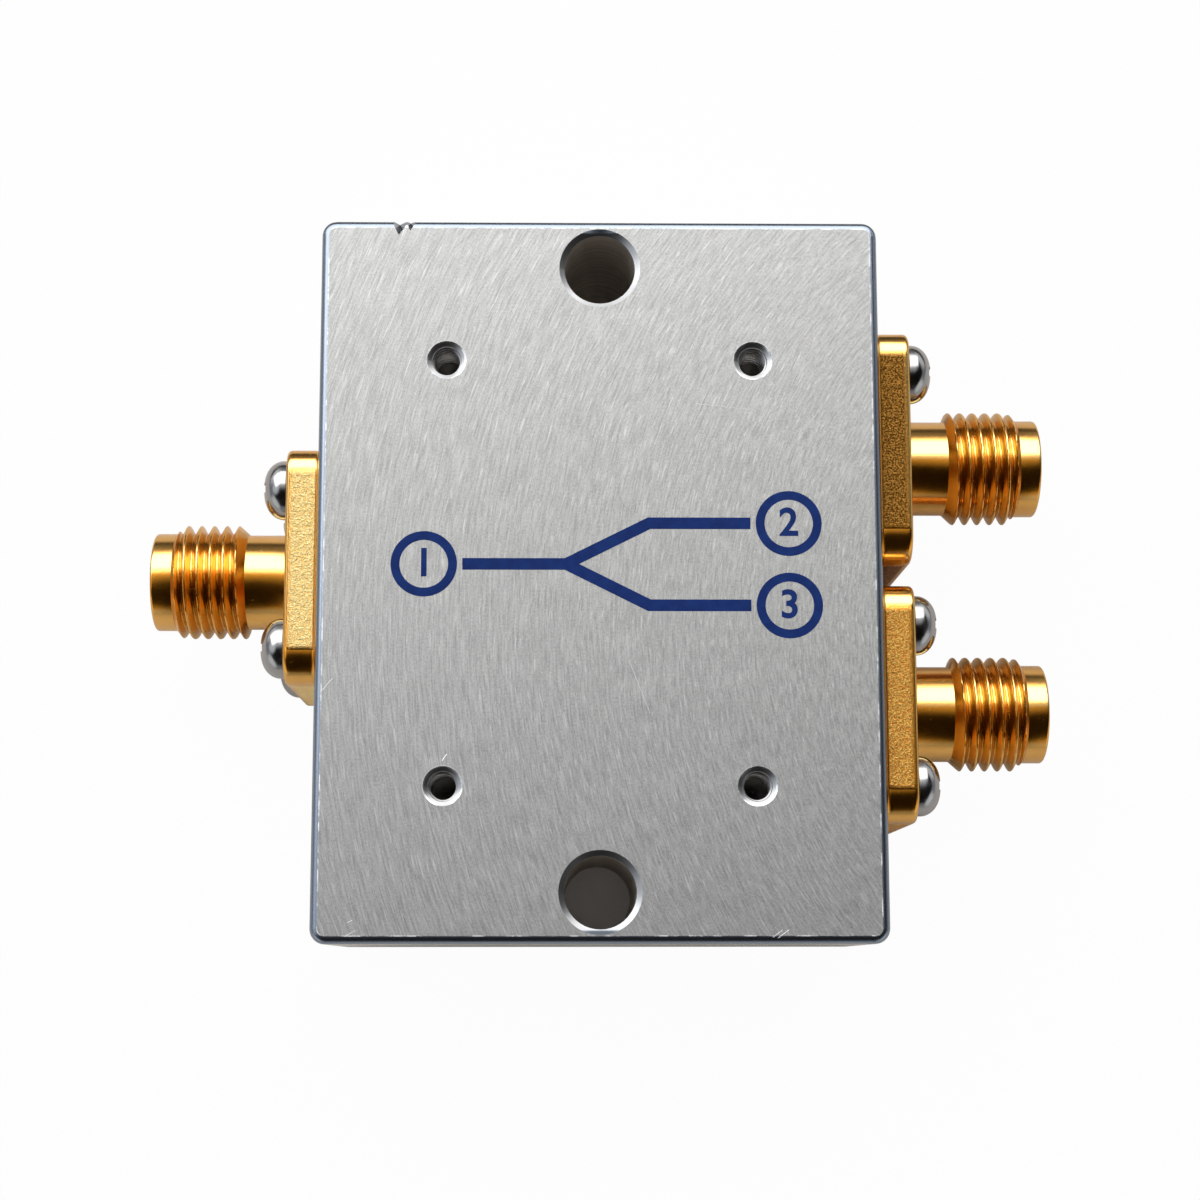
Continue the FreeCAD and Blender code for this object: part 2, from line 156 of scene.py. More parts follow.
class Surface:
    """Collects grids of points in millimetres and welds them into one closed mesh."""

    weld_distance = 2e-4

    def __init__(self) -> None:
        """Start with no points and no faces."""
        self.points: list[np.ndarray] = []
        self.faces: list[np.ndarray] = []
        self.count = 0

    def grid(self, points: np.ndarray, wrap_rows: bool = False, wrap_cols: bool = True) -> None:
        """Add a grid of points, with one quad between each four neighbours.

        Args:
            points: Array of shape (rows, columns, 3).
            wrap_rows: Whether the last row joins the first.
            wrap_cols: Whether each row closes on itself.
        """
        rows, cols, _ = points.shape
        index = self.count + np.arange(rows * cols).reshape(rows, cols)
        if wrap_rows:
            index = np.concatenate([index, index[:1]])
        if wrap_cols:
            index = np.concatenate([index, index[:, :1]], axis=1)
        quads = np.stack([index[:-1, :-1], index[:-1, 1:], index[1:, 1:], index[1:, :-1]], axis=-1)
        self.points.append(points.reshape(-1, 3))
        self.faces.append(quads.reshape(-1, 4))
        self.count += rows * cols

    def cap(self, ring: np.ndarray) -> None:
        """Close a ring of points with a fan to its middle, as a grid whose last row is one point."""
        middle = np.repeat(ring.mean(axis=0)[None, :], len(ring), axis=0)
        self.grid(np.stack([ring, middle]))

    def build(self, name: str, crease: float = 32.0) -> bpy.types.Object:
        """Weld the grids and make the object.

        Args:
            name: Name of the new object.
            crease: Angle in degrees past which an edge stays sharp.

        Returns:
            The object, linked to the scene, with its place in its mesh.
        """
        mesh = bpy.data.meshes.new(name)
        mesh.from_pydata(np.concatenate(self.points).tolist(), [], np.concatenate(self.faces).tolist())
        work = bmesh.new()
        work.from_mesh(mesh)
        bmesh.ops.remove_doubles(work, verts=work.verts, dist=self.weld_distance)
        bmesh.ops.dissolve_degenerate(work, edges=work.edges, dist=self.weld_distance / 10)
        bmesh.ops.recalc_face_normals(work, faces=work.faces)
        work.to_mesh(mesh)
        work.free()
        mesh.transform(Matrix.Scale(MM, 4))
        mesh.polygons.foreach_set("use_smooth", np.ones(len(mesh.polygons), dtype=bool))
        mesh.set_sharp_from_angle(angle=math.radians(crease))
        obj = bpy.data.objects.new(name, mesh)
        bpy.context.scene.collection.objects.link(obj)
        return obj


@dataclass(frozen=True)
class Signal:
    """Output of a node. It can be added to, taken from and multiplied by a number or a signal."""

    nodes: "Nodes"
    socket: bpy.types.NodeSocket

    def __add__(self, other: "Signal | float") -> "Signal":
        """Sum of both."""
        return self.nodes.math("ADD", self, other)

    def __sub__(self, other: "Signal | float") -> "Signal":
        """This one less the other."""
        return self.nodes.math("SUBTRACT", self, other)

    def __rsub__(self, other: float) -> "Signal":
        """A number less this one."""
        return self.nodes.math("SUBTRACT", other, self)

    def __mul__(self, other: "Signal | float") -> "Signal":
        """Product of both."""
        return self.nodes.math("MULTIPLY", self, other)

    def __abs__(self) -> "Signal":
        """Size without its sign."""
        return self.nodes.math("ABSOLUTE", self)

    def ramp(self, low: float, high: float, out_low: float = 0.0, out_high: float = 1.0) -> "Signal":
        """The value carried softly from one range to another and held inside it.

        Args:
            low: Value that gives out_low.
            high: Value that gives out_high. It may lie below low.
            out_low: Result at low and beyond it.
            out_high: Result at high and beyond it.

        Returns:
            The result.
        """
        inputs = {"Value": self, "From Min": low, "From Max": high, "To Min": out_low, "To Max": out_high}
        return self.nodes.run("ShaderNodeMapRange", inputs, "Result", interpolation_type="SMOOTHSTEP")


class Nodes:
    """Short hand for a node tree."""

    def __init__(self, tree: bpy.types.NodeTree) -> None:
        """Hold the tree that the nodes go into."""
        self.tree = tree

    def feed(self, target: bpy.types.NodeSocket, value: object) -> None:
        """Set an input. A colour is given without its alpha, which is 1.

        Args:
            target: The input.
            value: A signal, a number or a tuple.
        """
        if isinstance(value, Signal):
            self.tree.links.new(value.socket, target)
        elif target.type == "RGBA":
            target.default_value = (*value, 1.0)
        else:
            target.default_value = value

    def run(self, kind: str, inputs: dict, output: str | int = 0, **settings: str) -> Signal:
        """Add a node, feed its inputs and take one of its outputs.

        Args:
            kind: Type of the node.
            inputs: Signal or value of each input, by its name or number.
            output: Name or number of the output.
            settings: Properties of the node.

        Returns:
            The output.
        """
        made = self.tree.nodes.new(kind)
        for key, value in settings.items():
            setattr(made, key, value)
        for key, value in inputs.items():
            self.feed(made.inputs[key], value)
        return Signal(self, made.outputs[output])

    def math(self, operation: str, first: object, second: object = 0.0) -> Signal:
        """Result of one Math node."""
        return self.run("ShaderNodeMath", {0: first, 1: second}, operation=operation)

    def vector(self, operation: str, inputs: dict, output: str = "Vector") -> Signal:
        """Result of one Vector Math node."""
        return self.run("ShaderNodeVectorMath", inputs, output, operation=operation)

    def toward(self, direction: Signal, aim: Triple) -> Signal:
        """Cosine of the angle between a direction and an aim."""
        return self.vector("DOT_PRODUCT", {0: direction, 1: Vector(aim).normalized()}, "Value")

    def axes(self, vector: Signal) -> tuple[Signal, ...]:
        """The three components of a vector."""
        split = self.run("ShaderNodeSeparateXYZ", {0: vector})
        return tuple(Signal(self, part) for part in split.socket.node.outputs)

    def join(self, x: object, y: object, z: object = 0.0) -> Signal:
        """Vector made of three components."""
        return self.run("ShaderNodeCombineXYZ", {0: x, 1: y, 2: z})

    def reach(self, x: Signal, y: Signal) -> Signal:
        """Length of the vector (x, y)."""
        return self.vector("LENGTH", {0: self.join(x, y)}, "Value")

    def noise(self, vector: Signal, scale: float, detail: float = 2.0, rough: float = 0.5) -> Signal:
        """Noise between 0 and 1, about one blob in each 1 / scale."""
        inputs = {"Vector": vector, "Scale": scale, "Detail": detail, "Roughness": rough}
        return self.run("ShaderNodeTexNoise", inputs, "Fac")

    def blend(self, share: Signal, first: object, second: object) -> Signal:
        """Mix of two colours, which is the second where the share is 1."""
        return self.run("ShaderNodeMix", {0: share, 6: first, 7: second}, 2, data_type="RGBA")


class Shader(Nodes):
    """A material with one Principled surface. Distances inside are millimetres."""

    def __init__(self, name: str, metallic: float = 0.0) -> None:
        """Make an empty material and its Object coordinates.

        Args:
            name: Name of the material.
            metallic: 1 for bare metal.
        """
        self.material = bpy.data.materials.new(name)
        self.material.use_nodes = True
        super().__init__(self.material.node_tree)
        self.surface = self.tree.nodes["Principled BSDF"]
        self.surface.inputs["Metallic"].default_value = metallic
        self.place = self.vector("SCALE", {0: self.coordinate("Object"), "Scale": 1.0 / MM})
        self.x, self.y, self.z = self.axes(self.place)
        self.relief: Signal | None = None

    def coordinate(self, kind: str) -> Signal:
        """One output of the Texture Coordinate node."""
        return self.run("ShaderNodeTexCoord", {}, kind)

    def lean(self, share: Signal, toward: Triple) -> None:
        """Lean the shading normal, as a small round on a straight chamfer does, before any relief.

        Formula: the surface normal times what is left of the share plus the direction times the
        share, brought back to length 1.

        Args:
            share: Share of the direction, between 0 and 1.
            toward: Direction that the normal leans to.
        """
        normal = self.run("ShaderNodeNewGeometry", {}, "Normal")
        kept = self.vector("SCALE", {0: normal, "Scale": 1.0 - share})
        added = self.vector("SCALE", {0: toward, "Scale": share})
        self.relief = self.vector("NORMALIZE", {0: self.vector("ADD", {0: kept, 1: added})})

    def bump(self, height: Signal, depth: float, strength: float) -> None:
        """Lay one more layer of relief over those before it.

        Args:
            height: Height between 0 and 1.
            depth: What a height of 1 stands for, in millimetres.
            strength: Share of the relief that shows.
        """
        inputs = {"Strength": strength, "Distance": depth * MM, "Height": height}
        if self.relief is not None:
            inputs["Normal"] = self.relief
        self.relief = self.run("ShaderNodeBump", inputs)

    def finish(self, color: Signal, roughness: Signal | float) -> bpy.types.Material:
        """Lead colour, roughness and relief into the surface.

        Args:
            color: Base colour.
            roughness: Roughness.

        Returns:
            The material.
        """
        for key, value in (("Base Color", color), ("Roughness", roughness), ("Normal", self.relief)):
            if value is not None:
                self.feed(self.surface.inputs[key], value)
        return self.material


def scaled(color: Triple, share: float) -> Triple:
    """A colour times a share."""
    return tuple(part * share for part in color)


@dataclass(frozen=True)
class Scratch:
    """A thin scratch on the broad face, from one point to another, in millimetres."""

    start: Pair
    end: Pair
    width: float = 0.05

    def mask(self, shader: Shader) -> Signal:
        """Mask that is 1 on the scratch.

        Formula: the point's offset from the scratch's start is split into its share along the
        scratch, held between 0 and 1, and the distance left from the point at that share.

        Args:
            shader: Material being made.

        Returns:
            Mask between 0 and 1.
        """
        run_x, run_y = self.end[0] - self.start[0], self.end[1] - self.start[1]
        square = run_x * run_x + run_y * run_y
        off_x, off_y = shader.x - self.start[0], shader.y - self.start[1]
        along = off_x * (run_x / square) + off_y * (run_y / square)
        share = shader.math("MINIMUM", shader.math("MAXIMUM", along, 0.0), 1.0)
        distance = shader.reach(off_x - share * run_x, off_y - share * run_y)
        return distance.ramp(self.width * 0.5, self.width * 0.15)


FACE_SCRATCHES = (
    Scratch((8.96, -19.2), (9.71, -18.64)),
    Scratch((8.91, -19.0), (9.38, -18.64), 0.04),
    Scratch((-13.01, -18.25), (-12.78, -18.15)),
    Scratch((-13.11, -18.95), (-12.61, -18.65), 0.04),
    Scratch((-14.5, -6.2), (-14.0, -5.6)),
    Scratch((-8.2, -9.9), (-8.0, -9.6), 0.09),
    Scratch((1.5, -4.6), (2.6, -7.4), 0.03),
    Scratch((5.2, 9.2), (7.9, 8.9), 0.03),
    Scratch((-10.68, 18.98), (-10.12, 19.03), 0.24),
)


@dataclass(frozen=True)
class BrushedAluminium:
    """Bare aluminium: long arcs of brushing on the broad faces, polished round edges, reamed bores.

    The layers of strokes, fine, middle, bold and dark, each give their lines in a millimetre across
    and along the brushing, and the offset that sets them apart. The ranges ending in _upright are
    of the size of the normal's Z share, and those ending in _border are of the distance inside the
    block's outline. The dark blue in the round edges' colour and the pale sides are painted
    reflection, the bright broken line just inside the edges is a painted highlight, and the dark
    drill floors are painted shade.
    """

    name: str = "brushed aluminium"
    color: Triple = (0.425, 0.420, 0.405)
    bore_color: Triple = (0.86, 0.80, 0.73)
    # Round edges: the polish is real, the dark blue in their colour is a painted reflection.
    edge_reflection_color: Triple = (0.30, 0.34, 0.40)
    rim_color: Triple = (0.37, 0.37, 0.37)
    # Pale sides of the block: painted reflection of the lit floor.
    side_reflection_color: Triple = (0.90, 0.85, 0.78)
    # Painted shade at the bottom of the drilled holes.
    floor_color: Triple = (0.060, 0.052, 0.042)
    # Bright broken line just inside the round edges: a painted highlight in the colour, with real roughness.
    burr_highlight_color: Triple = (0.95, 0.95, 0.95)
    ring_color: Triple = (0.95, 0.95, 0.93)
    scratch_color: Triple = (0.95, 0.95, 0.94)
    roughness: float = 0.48
    edge_roughness: float = 0.27
    rim_roughness: float = 0.30
    bore_roughness: float = 0.50
    tone_range: Pair = (0.28, 0.72)
    tone_shades: Pair = (0.76, 1.22)
    bold_shade: float = 1.6
    bold_share: float = 0.55
    dark_shade: float = 0.58
    dark_share: float = 0.45
    mottle_shade: float = 0.75
    mottle_share: float = 0.12
    edge_shade: float = 0.7
    rim_shades: Pair = (0.7, 1.3)
    bore_shade: float = 0.72
    drill_shade_share: float = 0.88
    ring_share: float = 0.8
    scratch_share: float = 0.85
    scratch_depth: float = 0.02
    stroke_depth: float = 0.008
    line_depth: float = 0.004
    rim_lean: float = 0.42
    hole_ring_radius: float = 1.01
    arc_centre: Pair = (34.0, -3.0)
    arc_wander: float = 0.35
    stroke_layers: tuple[Triple, ...] = ((13.0, 1.00, 1.0), (7.0, 0.50, 5.0), (9.0, 0.80, 9.0),
                                         (8.5, 0.85, 17.0))
    flat_upright: Pair = (0.93, 0.98)
    bore_upright: Pair = (0.5, 0.3)
    bore_border: Pair = (0.12, 0.20)
    rim_border: Pair = (0.6, 0.8)
    side_upright: Pair = (0.35, 0.15)
    side_border: Pair = (0.12, 0.04)
    cone_upright: Pair = (0.6, 0.8)
    drill_depth: Pair = (2.0, 3.0)
    drill_height: Pair = (3.0, 4.0)
    half_size: Pair = (15.0, 19.35)
    corner_radius: float = 0.8
    edge_radius: float = 0.42
    scratches: tuple[Scratch, ...] = ()

    def border_distance(self, shader: Shader) -> Signal:
        """Distance inside the block's outline, up to its corner radius.

        Formula: what each of |x| and |y| has beyond the straight part of its side is the leg of a
        right triangle, whose long side is taken from the corner radius.

        Args:
            shader: Material being made.

        Returns:
            The distance.
        """
        legs = [shader.math("MAXIMUM", abs(value) - (half - self.corner_radius), 0.0)
                for value, half in zip((shader.x, shader.y), self.half_size)]
        return self.corner_radius - shader.reach(*legs)

    def hole_rings(self, shader: Shader) -> Signal:
        """Mask of the broken bright ring that deburring left round each tapped hole.

        Formula: the distance from the nearest hole's middle, less the ring's radius, without its
        sign.

        Args:
            shader: Material being made.

        Returns:
            Mask between 0 and 1.
        """
        off_x, off_y = abs(shader.x) - TAP_PITCH[0] / 2, abs(shader.y - TAP_MIDDLE_Y) - TAP_PITCH[1] / 2
        line = abs(shader.reach(off_x, off_y) - self.hole_ring_radius).ramp(0.07, 0.02)
        broken = shader.noise(shader.place, 1.6, 3.0, 0.6).ramp(0.40, 0.56)
        return line * shader.z.ramp(FACE_Z - 0.5, FACE_Z - 0.1) * broken

    def strokes(self, shader: Shader) -> tuple[Signal, ...]:
        """Four layers of noise drawn out along arcs about a far centre.

        Args:
            shader: Material being made.

        Returns:
            Fine, middle, bold and dark strokes, each between 0 and 1.
        """
        off_x, off_y = shader.x - self.arc_centre[0], shader.y - self.arc_centre[1]
        ring = shader.reach(off_x, off_y) + shader.noise(shader.place, 0.25) * self.arc_wander
        run = shader.math("ARCTAN2", off_y, off_x * -1.0) * self.arc_centre[0]
        fine, middle, bold, dark = (
            shader.noise(shader.join(ring * across, run * along, offset), 1.0, 2.0, 0.6)
            for across, along, offset in self.stroke_layers)
        return fine, middle, bold.ramp(0.58, 0.70), dark.ramp(0.58, 0.72)

    def build(self) -> bpy.types.Material:
        """Make the material.

        Returns:
            The material.
        """
        shader = Shader(self.name, metallic=1.0)
        fine, middle, bold, dark = self.strokes(shader)
        side_lines = shader.noise(shader.join(shader.x * 0.25, shader.y * 0.25, shader.z * 14.0), 1.0)
        mottle = shader.noise(shader.place, 0.6, 3.0)
        grit = shader.noise(shader.place, 9.0, 2.0, 0.7)

        upright = abs(shader.axes(shader.coordinate("Normal"))[2])
        border = self.border_distance(shader)
        flat = upright.ramp(*self.flat_upright)
        on_face = flat * border.ramp(self.edge_radius - 0.05, self.edge_radius + 0.02)
        off_face = 1.0 - on_face
        on_rim = border.ramp(*self.rim_border) * off_face
        on_side = border.ramp(*self.side_border) * upright.ramp(*self.side_upright)
        in_bore = border.ramp(*self.bore_border) * upright.ramp(*self.bore_upright)
        # Bottom of the drilled holes, where the painted shade goes.
        in_drill = upright.ramp(*self.cone_upright) * shader.z.ramp(*self.drill_height)
        in_drill = in_drill * shader.z.ramp(*(FACE_Z - depth for depth in self.drill_depth))
        # Broken line just inside the round edges: rougher like a burred edge, and a painted highlight in the
        # colour.
        burr_line = abs(border - self.edge_radius).ramp(0.05, 0.0)
        burr_and_highlight = burr_line * shader.noise(shader.place, 1.1, 4.0, 0.7).ramp(0.46, 0.60)

        tone = (fine * 0.55 + middle * 0.45 + (grit - 0.5) * 0.55).ramp(*self.tone_range)
        # Round edges with real milling lines, their dark bluish colour a painted reflection.
        edge = shader.blend(side_lines * 0.4, self.edge_reflection_color, scaled(self.edge_reflection_color, self.edge_shade))
        rim = shader.blend(mottle, *(scaled(self.rim_color, shade) for shade in self.rim_shades))
        bore = scaled(self.bore_color, self.bore_shade)
        bore = shader.blend(side_lines.ramp(0.35, 0.65), bore, self.bore_color)
        color = shader.blend(tone, *(scaled(self.color, shade) for shade in self.tone_shades))
        for share, second in (
            (bold * self.bold_share, scaled(self.color, self.bold_shade)),
            (dark * self.dark_share, scaled(self.color, self.dark_shade)),
            (mottle.ramp(0.35, 0.75, 0.0, self.mottle_share), scaled(self.color, self.mottle_shade)),
            (off_face, edge),
            # Painted reflection of the lit floor on the sides.
            (on_side, self.side_reflection_color),
            (on_rim, rim),
            (in_bore, bore),
            # Painted shade on the drill floors.
            (in_drill * self.drill_shade_share, self.floor_color),
            (burr_and_highlight * flat, self.burr_highlight_color),
            (self.hole_rings(shader) * self.ring_share, self.ring_color),
        ):
            color = shader.blend(share, color, second)

        rim_slope = upright.ramp(0.45, 0.55) * upright.ramp(0.93, 0.85)
        shader.lean(on_rim * rim_slope * self.rim_lean, (0.0, 0.0, 1.0))
        if self.scratches:
            marks = self.scratches[0].mask(shader)
            for scratch in self.scratches[1:]:
                marks = shader.math("MAXIMUM", marks, scratch.mask(shader))
            marks = marks * flat
            color = shader.blend(marks * self.scratch_share, color, self.scratch_color)
            shader.bump(marks, self.scratch_depth, 0.6)
        shader.bump((fine + middle) * on_face, self.stroke_depth, 0.5)
        shader.bump(side_lines * off_face, self.line_depth, 0.4)
        rough = (fine * 0.14 + (self.roughness - 0.07)) * on_face + off_face * self.edge_roughness
        rough = rough + burr_and_highlight * 0.3 + on_rim * (self.rim_roughness - self.edge_roughness)
        return shader.finish(color, rough + in_bore * (self.bore_roughness - self.rim_roughness))


@dataclass(frozen=True)
class GoldPlate:
    """Gold plate over brass: polished where it was turned, pebbled where the bar was left as cast.

    Each pair of angles, in radians from straight up toward +Y, says where the colour of a mirrored
    zone fades in and where it fades out again. The zones are painted light in the base colour: a
    painted highlight, a painted shade and a deep painted reflection.
    """

    name: str = "gold plate"
    color: Triple = (0.83, 0.465, 0.130)
    deep: Triple = (0.68, 0.30, 0.05)
    speck_color: Triple = (0.30, 0.15, 0.05)
    stain_color: Triple = (0.36, 0.17, 0.05)
    # Painted shade, deeper toward the roots of the thread.
    groove_shade_color: Triple = (0.55, 0.25, 0.016)
    roughness: float = 0.21
    cast: bool = False
    # Cast sides between dark and pale grains: partly the pebbles' own tone, partly painted glints on the
    # pebbles.
    cast_low: Triple = (0.98, 0.62, 0.20)
    cast_high: Triple = (1.0, 0.88, 0.44)
    # Colours laid in by the reflection's direction: a painted highlight where the plate mirrors the panel, a
    # painted shade at the panel's lower border and a deep painted reflection of the dark overhead.
    painted_highlight: Triple = (0.90, 0.70, 0.27)
    painted_border_shade: Triple = (0.22, 0.10, 0.02)
    shade: Triple = (0.80, 0.31, 0.030)
    panel_angles: tuple[Pair, Pair] = ((0.30, 0.55), (1.24, 1.00))
    overhead_angles: tuple[Pair, Pair] = ((0.32, 0.14), (-1.5, -1.2))
    border_angles: tuple[Pair, Pair] = ((1.02, 1.45), (1.98, 1.66))
    border_share: float = 0.62
    speck_share: float = 0.25
    stain_share: float = 0.30
    groove_shade_share: float = 0.55
    cast_depth: float = 0.13
    cast_roughness: float = 0.26

    def mirrored(self, shader: Shader, color: Signal) -> Signal:
        """Colour of the polished plate by where its reflection points.

        Formula: the reflection's angle from straight up toward +Y is taken from its Y and Z
        shares. The colour is painted pale, a painted highlight, where it mirrors the panel, painted
        dark at the panel's lower border, a painted shade, and painted deep where it mirrors the dark
        overhead, a painted reflection.

        Args:
            shader: Material being made.
            color: Colour before.

        Returns:
            Colour after.
        """
        _, across, upward = shader.axes(shader.coordinate("Reflection"))
        angle = shader.math("ARCTAN2", across, upward)
        # Lay the painted highlight, painted shade and painted reflection into the colour, zone by zone.
        for (fade_in, fade_out), share, tint in (
            (self.panel_angles, 1.0, self.painted_highlight),
            (self.overhead_angles, 1.0, self.shade),
            (self.border_angles, self.border_share, self.painted_border_shade),
        ):
            color = shader.blend(angle.ramp(*fade_in) * angle.ramp(*fade_out) * share, color, tint)
        return color

    def build(self) -> bpy.types.Material:
        """Make the material.

        Returns:
            The material. With cast set, its pebbled zones follow the mesh's cast_side attribute.
        """
        shader = Shader(self.name, metallic=1.0)
        cloud = shader.noise(shader.place, 0.9, 3.0)
        specks = shader.noise(shader.place, 7.0).ramp(0.68, 0.76)
        stain = shader.noise(shader.place, 2.3, 4.0, 0.7).ramp(0.58, 0.80)
        groove = shader.run("ShaderNodeAttribute", {}, "Fac", attribute_name="groove")
        color = shader.blend(cloud.ramp(0.3, 0.8, 0.0, 0.35), self.color, self.deep)
        color = shader.blend(specks * self.speck_share, color, self.speck_color)
        color = shader.blend(stain * self.stain_share, color, self.stain_color)
        # Painted shade in the thread's grooves, then painted light by the reflection's direction.
        color = self.mirrored(shader, shader.blend(groove * self.groove_shade_share, color, self.groove_shade_color))
        rough = cloud * 0.10 + (self.roughness - 0.05) + stain * 0.12
        shader.bump(shader.noise(shader.place, 4.0, 3.0), 0.006, 0.45)
        shader.bump(shader.noise(shader.place, 14.0, 3.0, 0.7), 0.003, 0.5)
        if self.cast:
            mask = shader.run("ShaderNodeAttribute", {}, "Fac", attribute_name="cast_side")
            grit = shader.noise(shader.place, 11.0, 3.0, 0.6)
            pebbles = shader.noise(shader.place, 5.5, 3.0, 0.6) + grit * 0.6
            shader.bump(pebbles * mask, self.cast_depth, 0.9)
            # Grain of the pebbles, whose pale part is partly painted glints.
            pale = shader.blend(grit.ramp(0.42, 0.62), self.cast_low, self.cast_high)
            color = shader.blend(mask, color, pale)
            rough = rough + mask * self.cast_roughness
        return shader.finish(color, rough)


@dataclass(frozen=True)
class BrightSteel:
    """Nickel plated screw steel with a faint fine grain and fingerprints."""

    name: str = "bright steel"
    color: Triple = (0.44, 0.43, 0.42)
    roughness: float = 0.17

    def build(self) -> bpy.types.Material:
        """Make the material.

        Returns:
            The material.
        """
        shader = Shader(self.name, metallic=1.0)
        cloud = shader.noise(shader.place, 1.4, 3.0)
        shader.bump(shader.noise(shader.place, 22.0), 0.002, 0.4)
        rough = cloud.ramp(0.3, 0.7, self.roughness * 0.7, self.roughness * 1.5)
        return shader.finish(shader.blend(cloud, scaled(self.color, 0.82), self.color), rough)


@dataclass(frozen=True)
class PlainFinish:
    """A matt or glossy coating with slight clouds, specks and grain."""

    name: str
    color: Triple
    second: Triple
    roughness: float = 0.5
    metallic: float = 0.0
    grain_scale: float = 6.0
    grain_depth: float = 0.004
    subsurface: float = 0.0
    specular: float = 0.5

    def build(self) -> bpy.types.Material:
        """Make the material.

        Returns:
            The material.
        """
        shader = Shader(self.name, self.metallic)
        for key, value in (("Specular IOR Level", self.specular), ("Subsurface Weight", self.subsurface),
                           ("Subsurface Scale", 0.5 * MM)):
            shader.surface.inputs[key].default_value = value
        cloud = shader.noise(shader.place, self.grain_scale * 0.2, 3.0)
        grain = shader.noise(shader.place, self.grain_scale, 3.0)
        shader.bump(grain, self.grain_depth, 0.6)
        rough = grain.ramp(0.2, 0.8, self.roughness * 0.8, self.roughness * 1.2)
        return shader.finish(shader.blend(cloud.ramp(0.3, 0.7), self.color, self.second), rough)


@dataclass(frozen=True)
class BoardWeave:
    """Green board laminate whose glass weave shows faintly through the coat."""

    name: str = "board laminate"
    threads_per_mm: float = 2.6
    low: Triple = (0.035, 0.16, 0.055)
    high: Triple = (0.055, 0.23, 0.08)

    def build(self) -> bpy.types.Material:
        """Make the material.

        Returns:
            The material.
        """
        shader = Shader(self.name)
        turns = self.threads_per_mm * FULL_TURN
        warp, weft = (shader.math("SINE", value * turns) for value in (shader.x, shader.y))
        weave = (warp * weft).ramp(-1.0, 1.0)
        shader.bump(weave, 0.01, 0.4)
        return shader.finish(shader.blend(weave, self.low, self.high), weave.ramp(0.0, 1.0, 0.28, 0.42))


def dress(obj: bpy.types.Object, material: bpy.types.Material) -> None:
    """Give every slot of an object one material."""
    obj.data.materials.clear()
    obj.data.materials.append(material)


class Seat:
    """Where a socket stands: the sign of its side, its wall, its axis and its length, in millimetres."""

    def __init__(self, port: Port) -> None:
        """Read the place from the socket's node.

        Args:
            port: The socket.
        """
        low, high = box_mm(f"{port.value}_shell")
        self.sign = float(port.side.value)
        self.wall_x = float(BLOCK_HIGH[0] if port.side is Side.RIGHT else BLOCK_LOW[0])
        self.axis_y, self.axis_z = (float(middle) for middle in (low + high)[1:] / 2)
        self.length = float(high[0] - low[0])

    def carry(self, surface: Surface, sign_y: float) -> None:
        """Carry grids from the socket's own frame to its place.

        Args:
            surface: Surface that holds the grids.
            sign_y: Sign that Y takes on the way.
        """
        for points in surface.points:
            points[:, 0] = self.wall_x + self.sign * points[:, 0]
            points[:, 1] = self.axis_y + sign_y * points[:, 1]
            points[:, 2] += self.axis_z


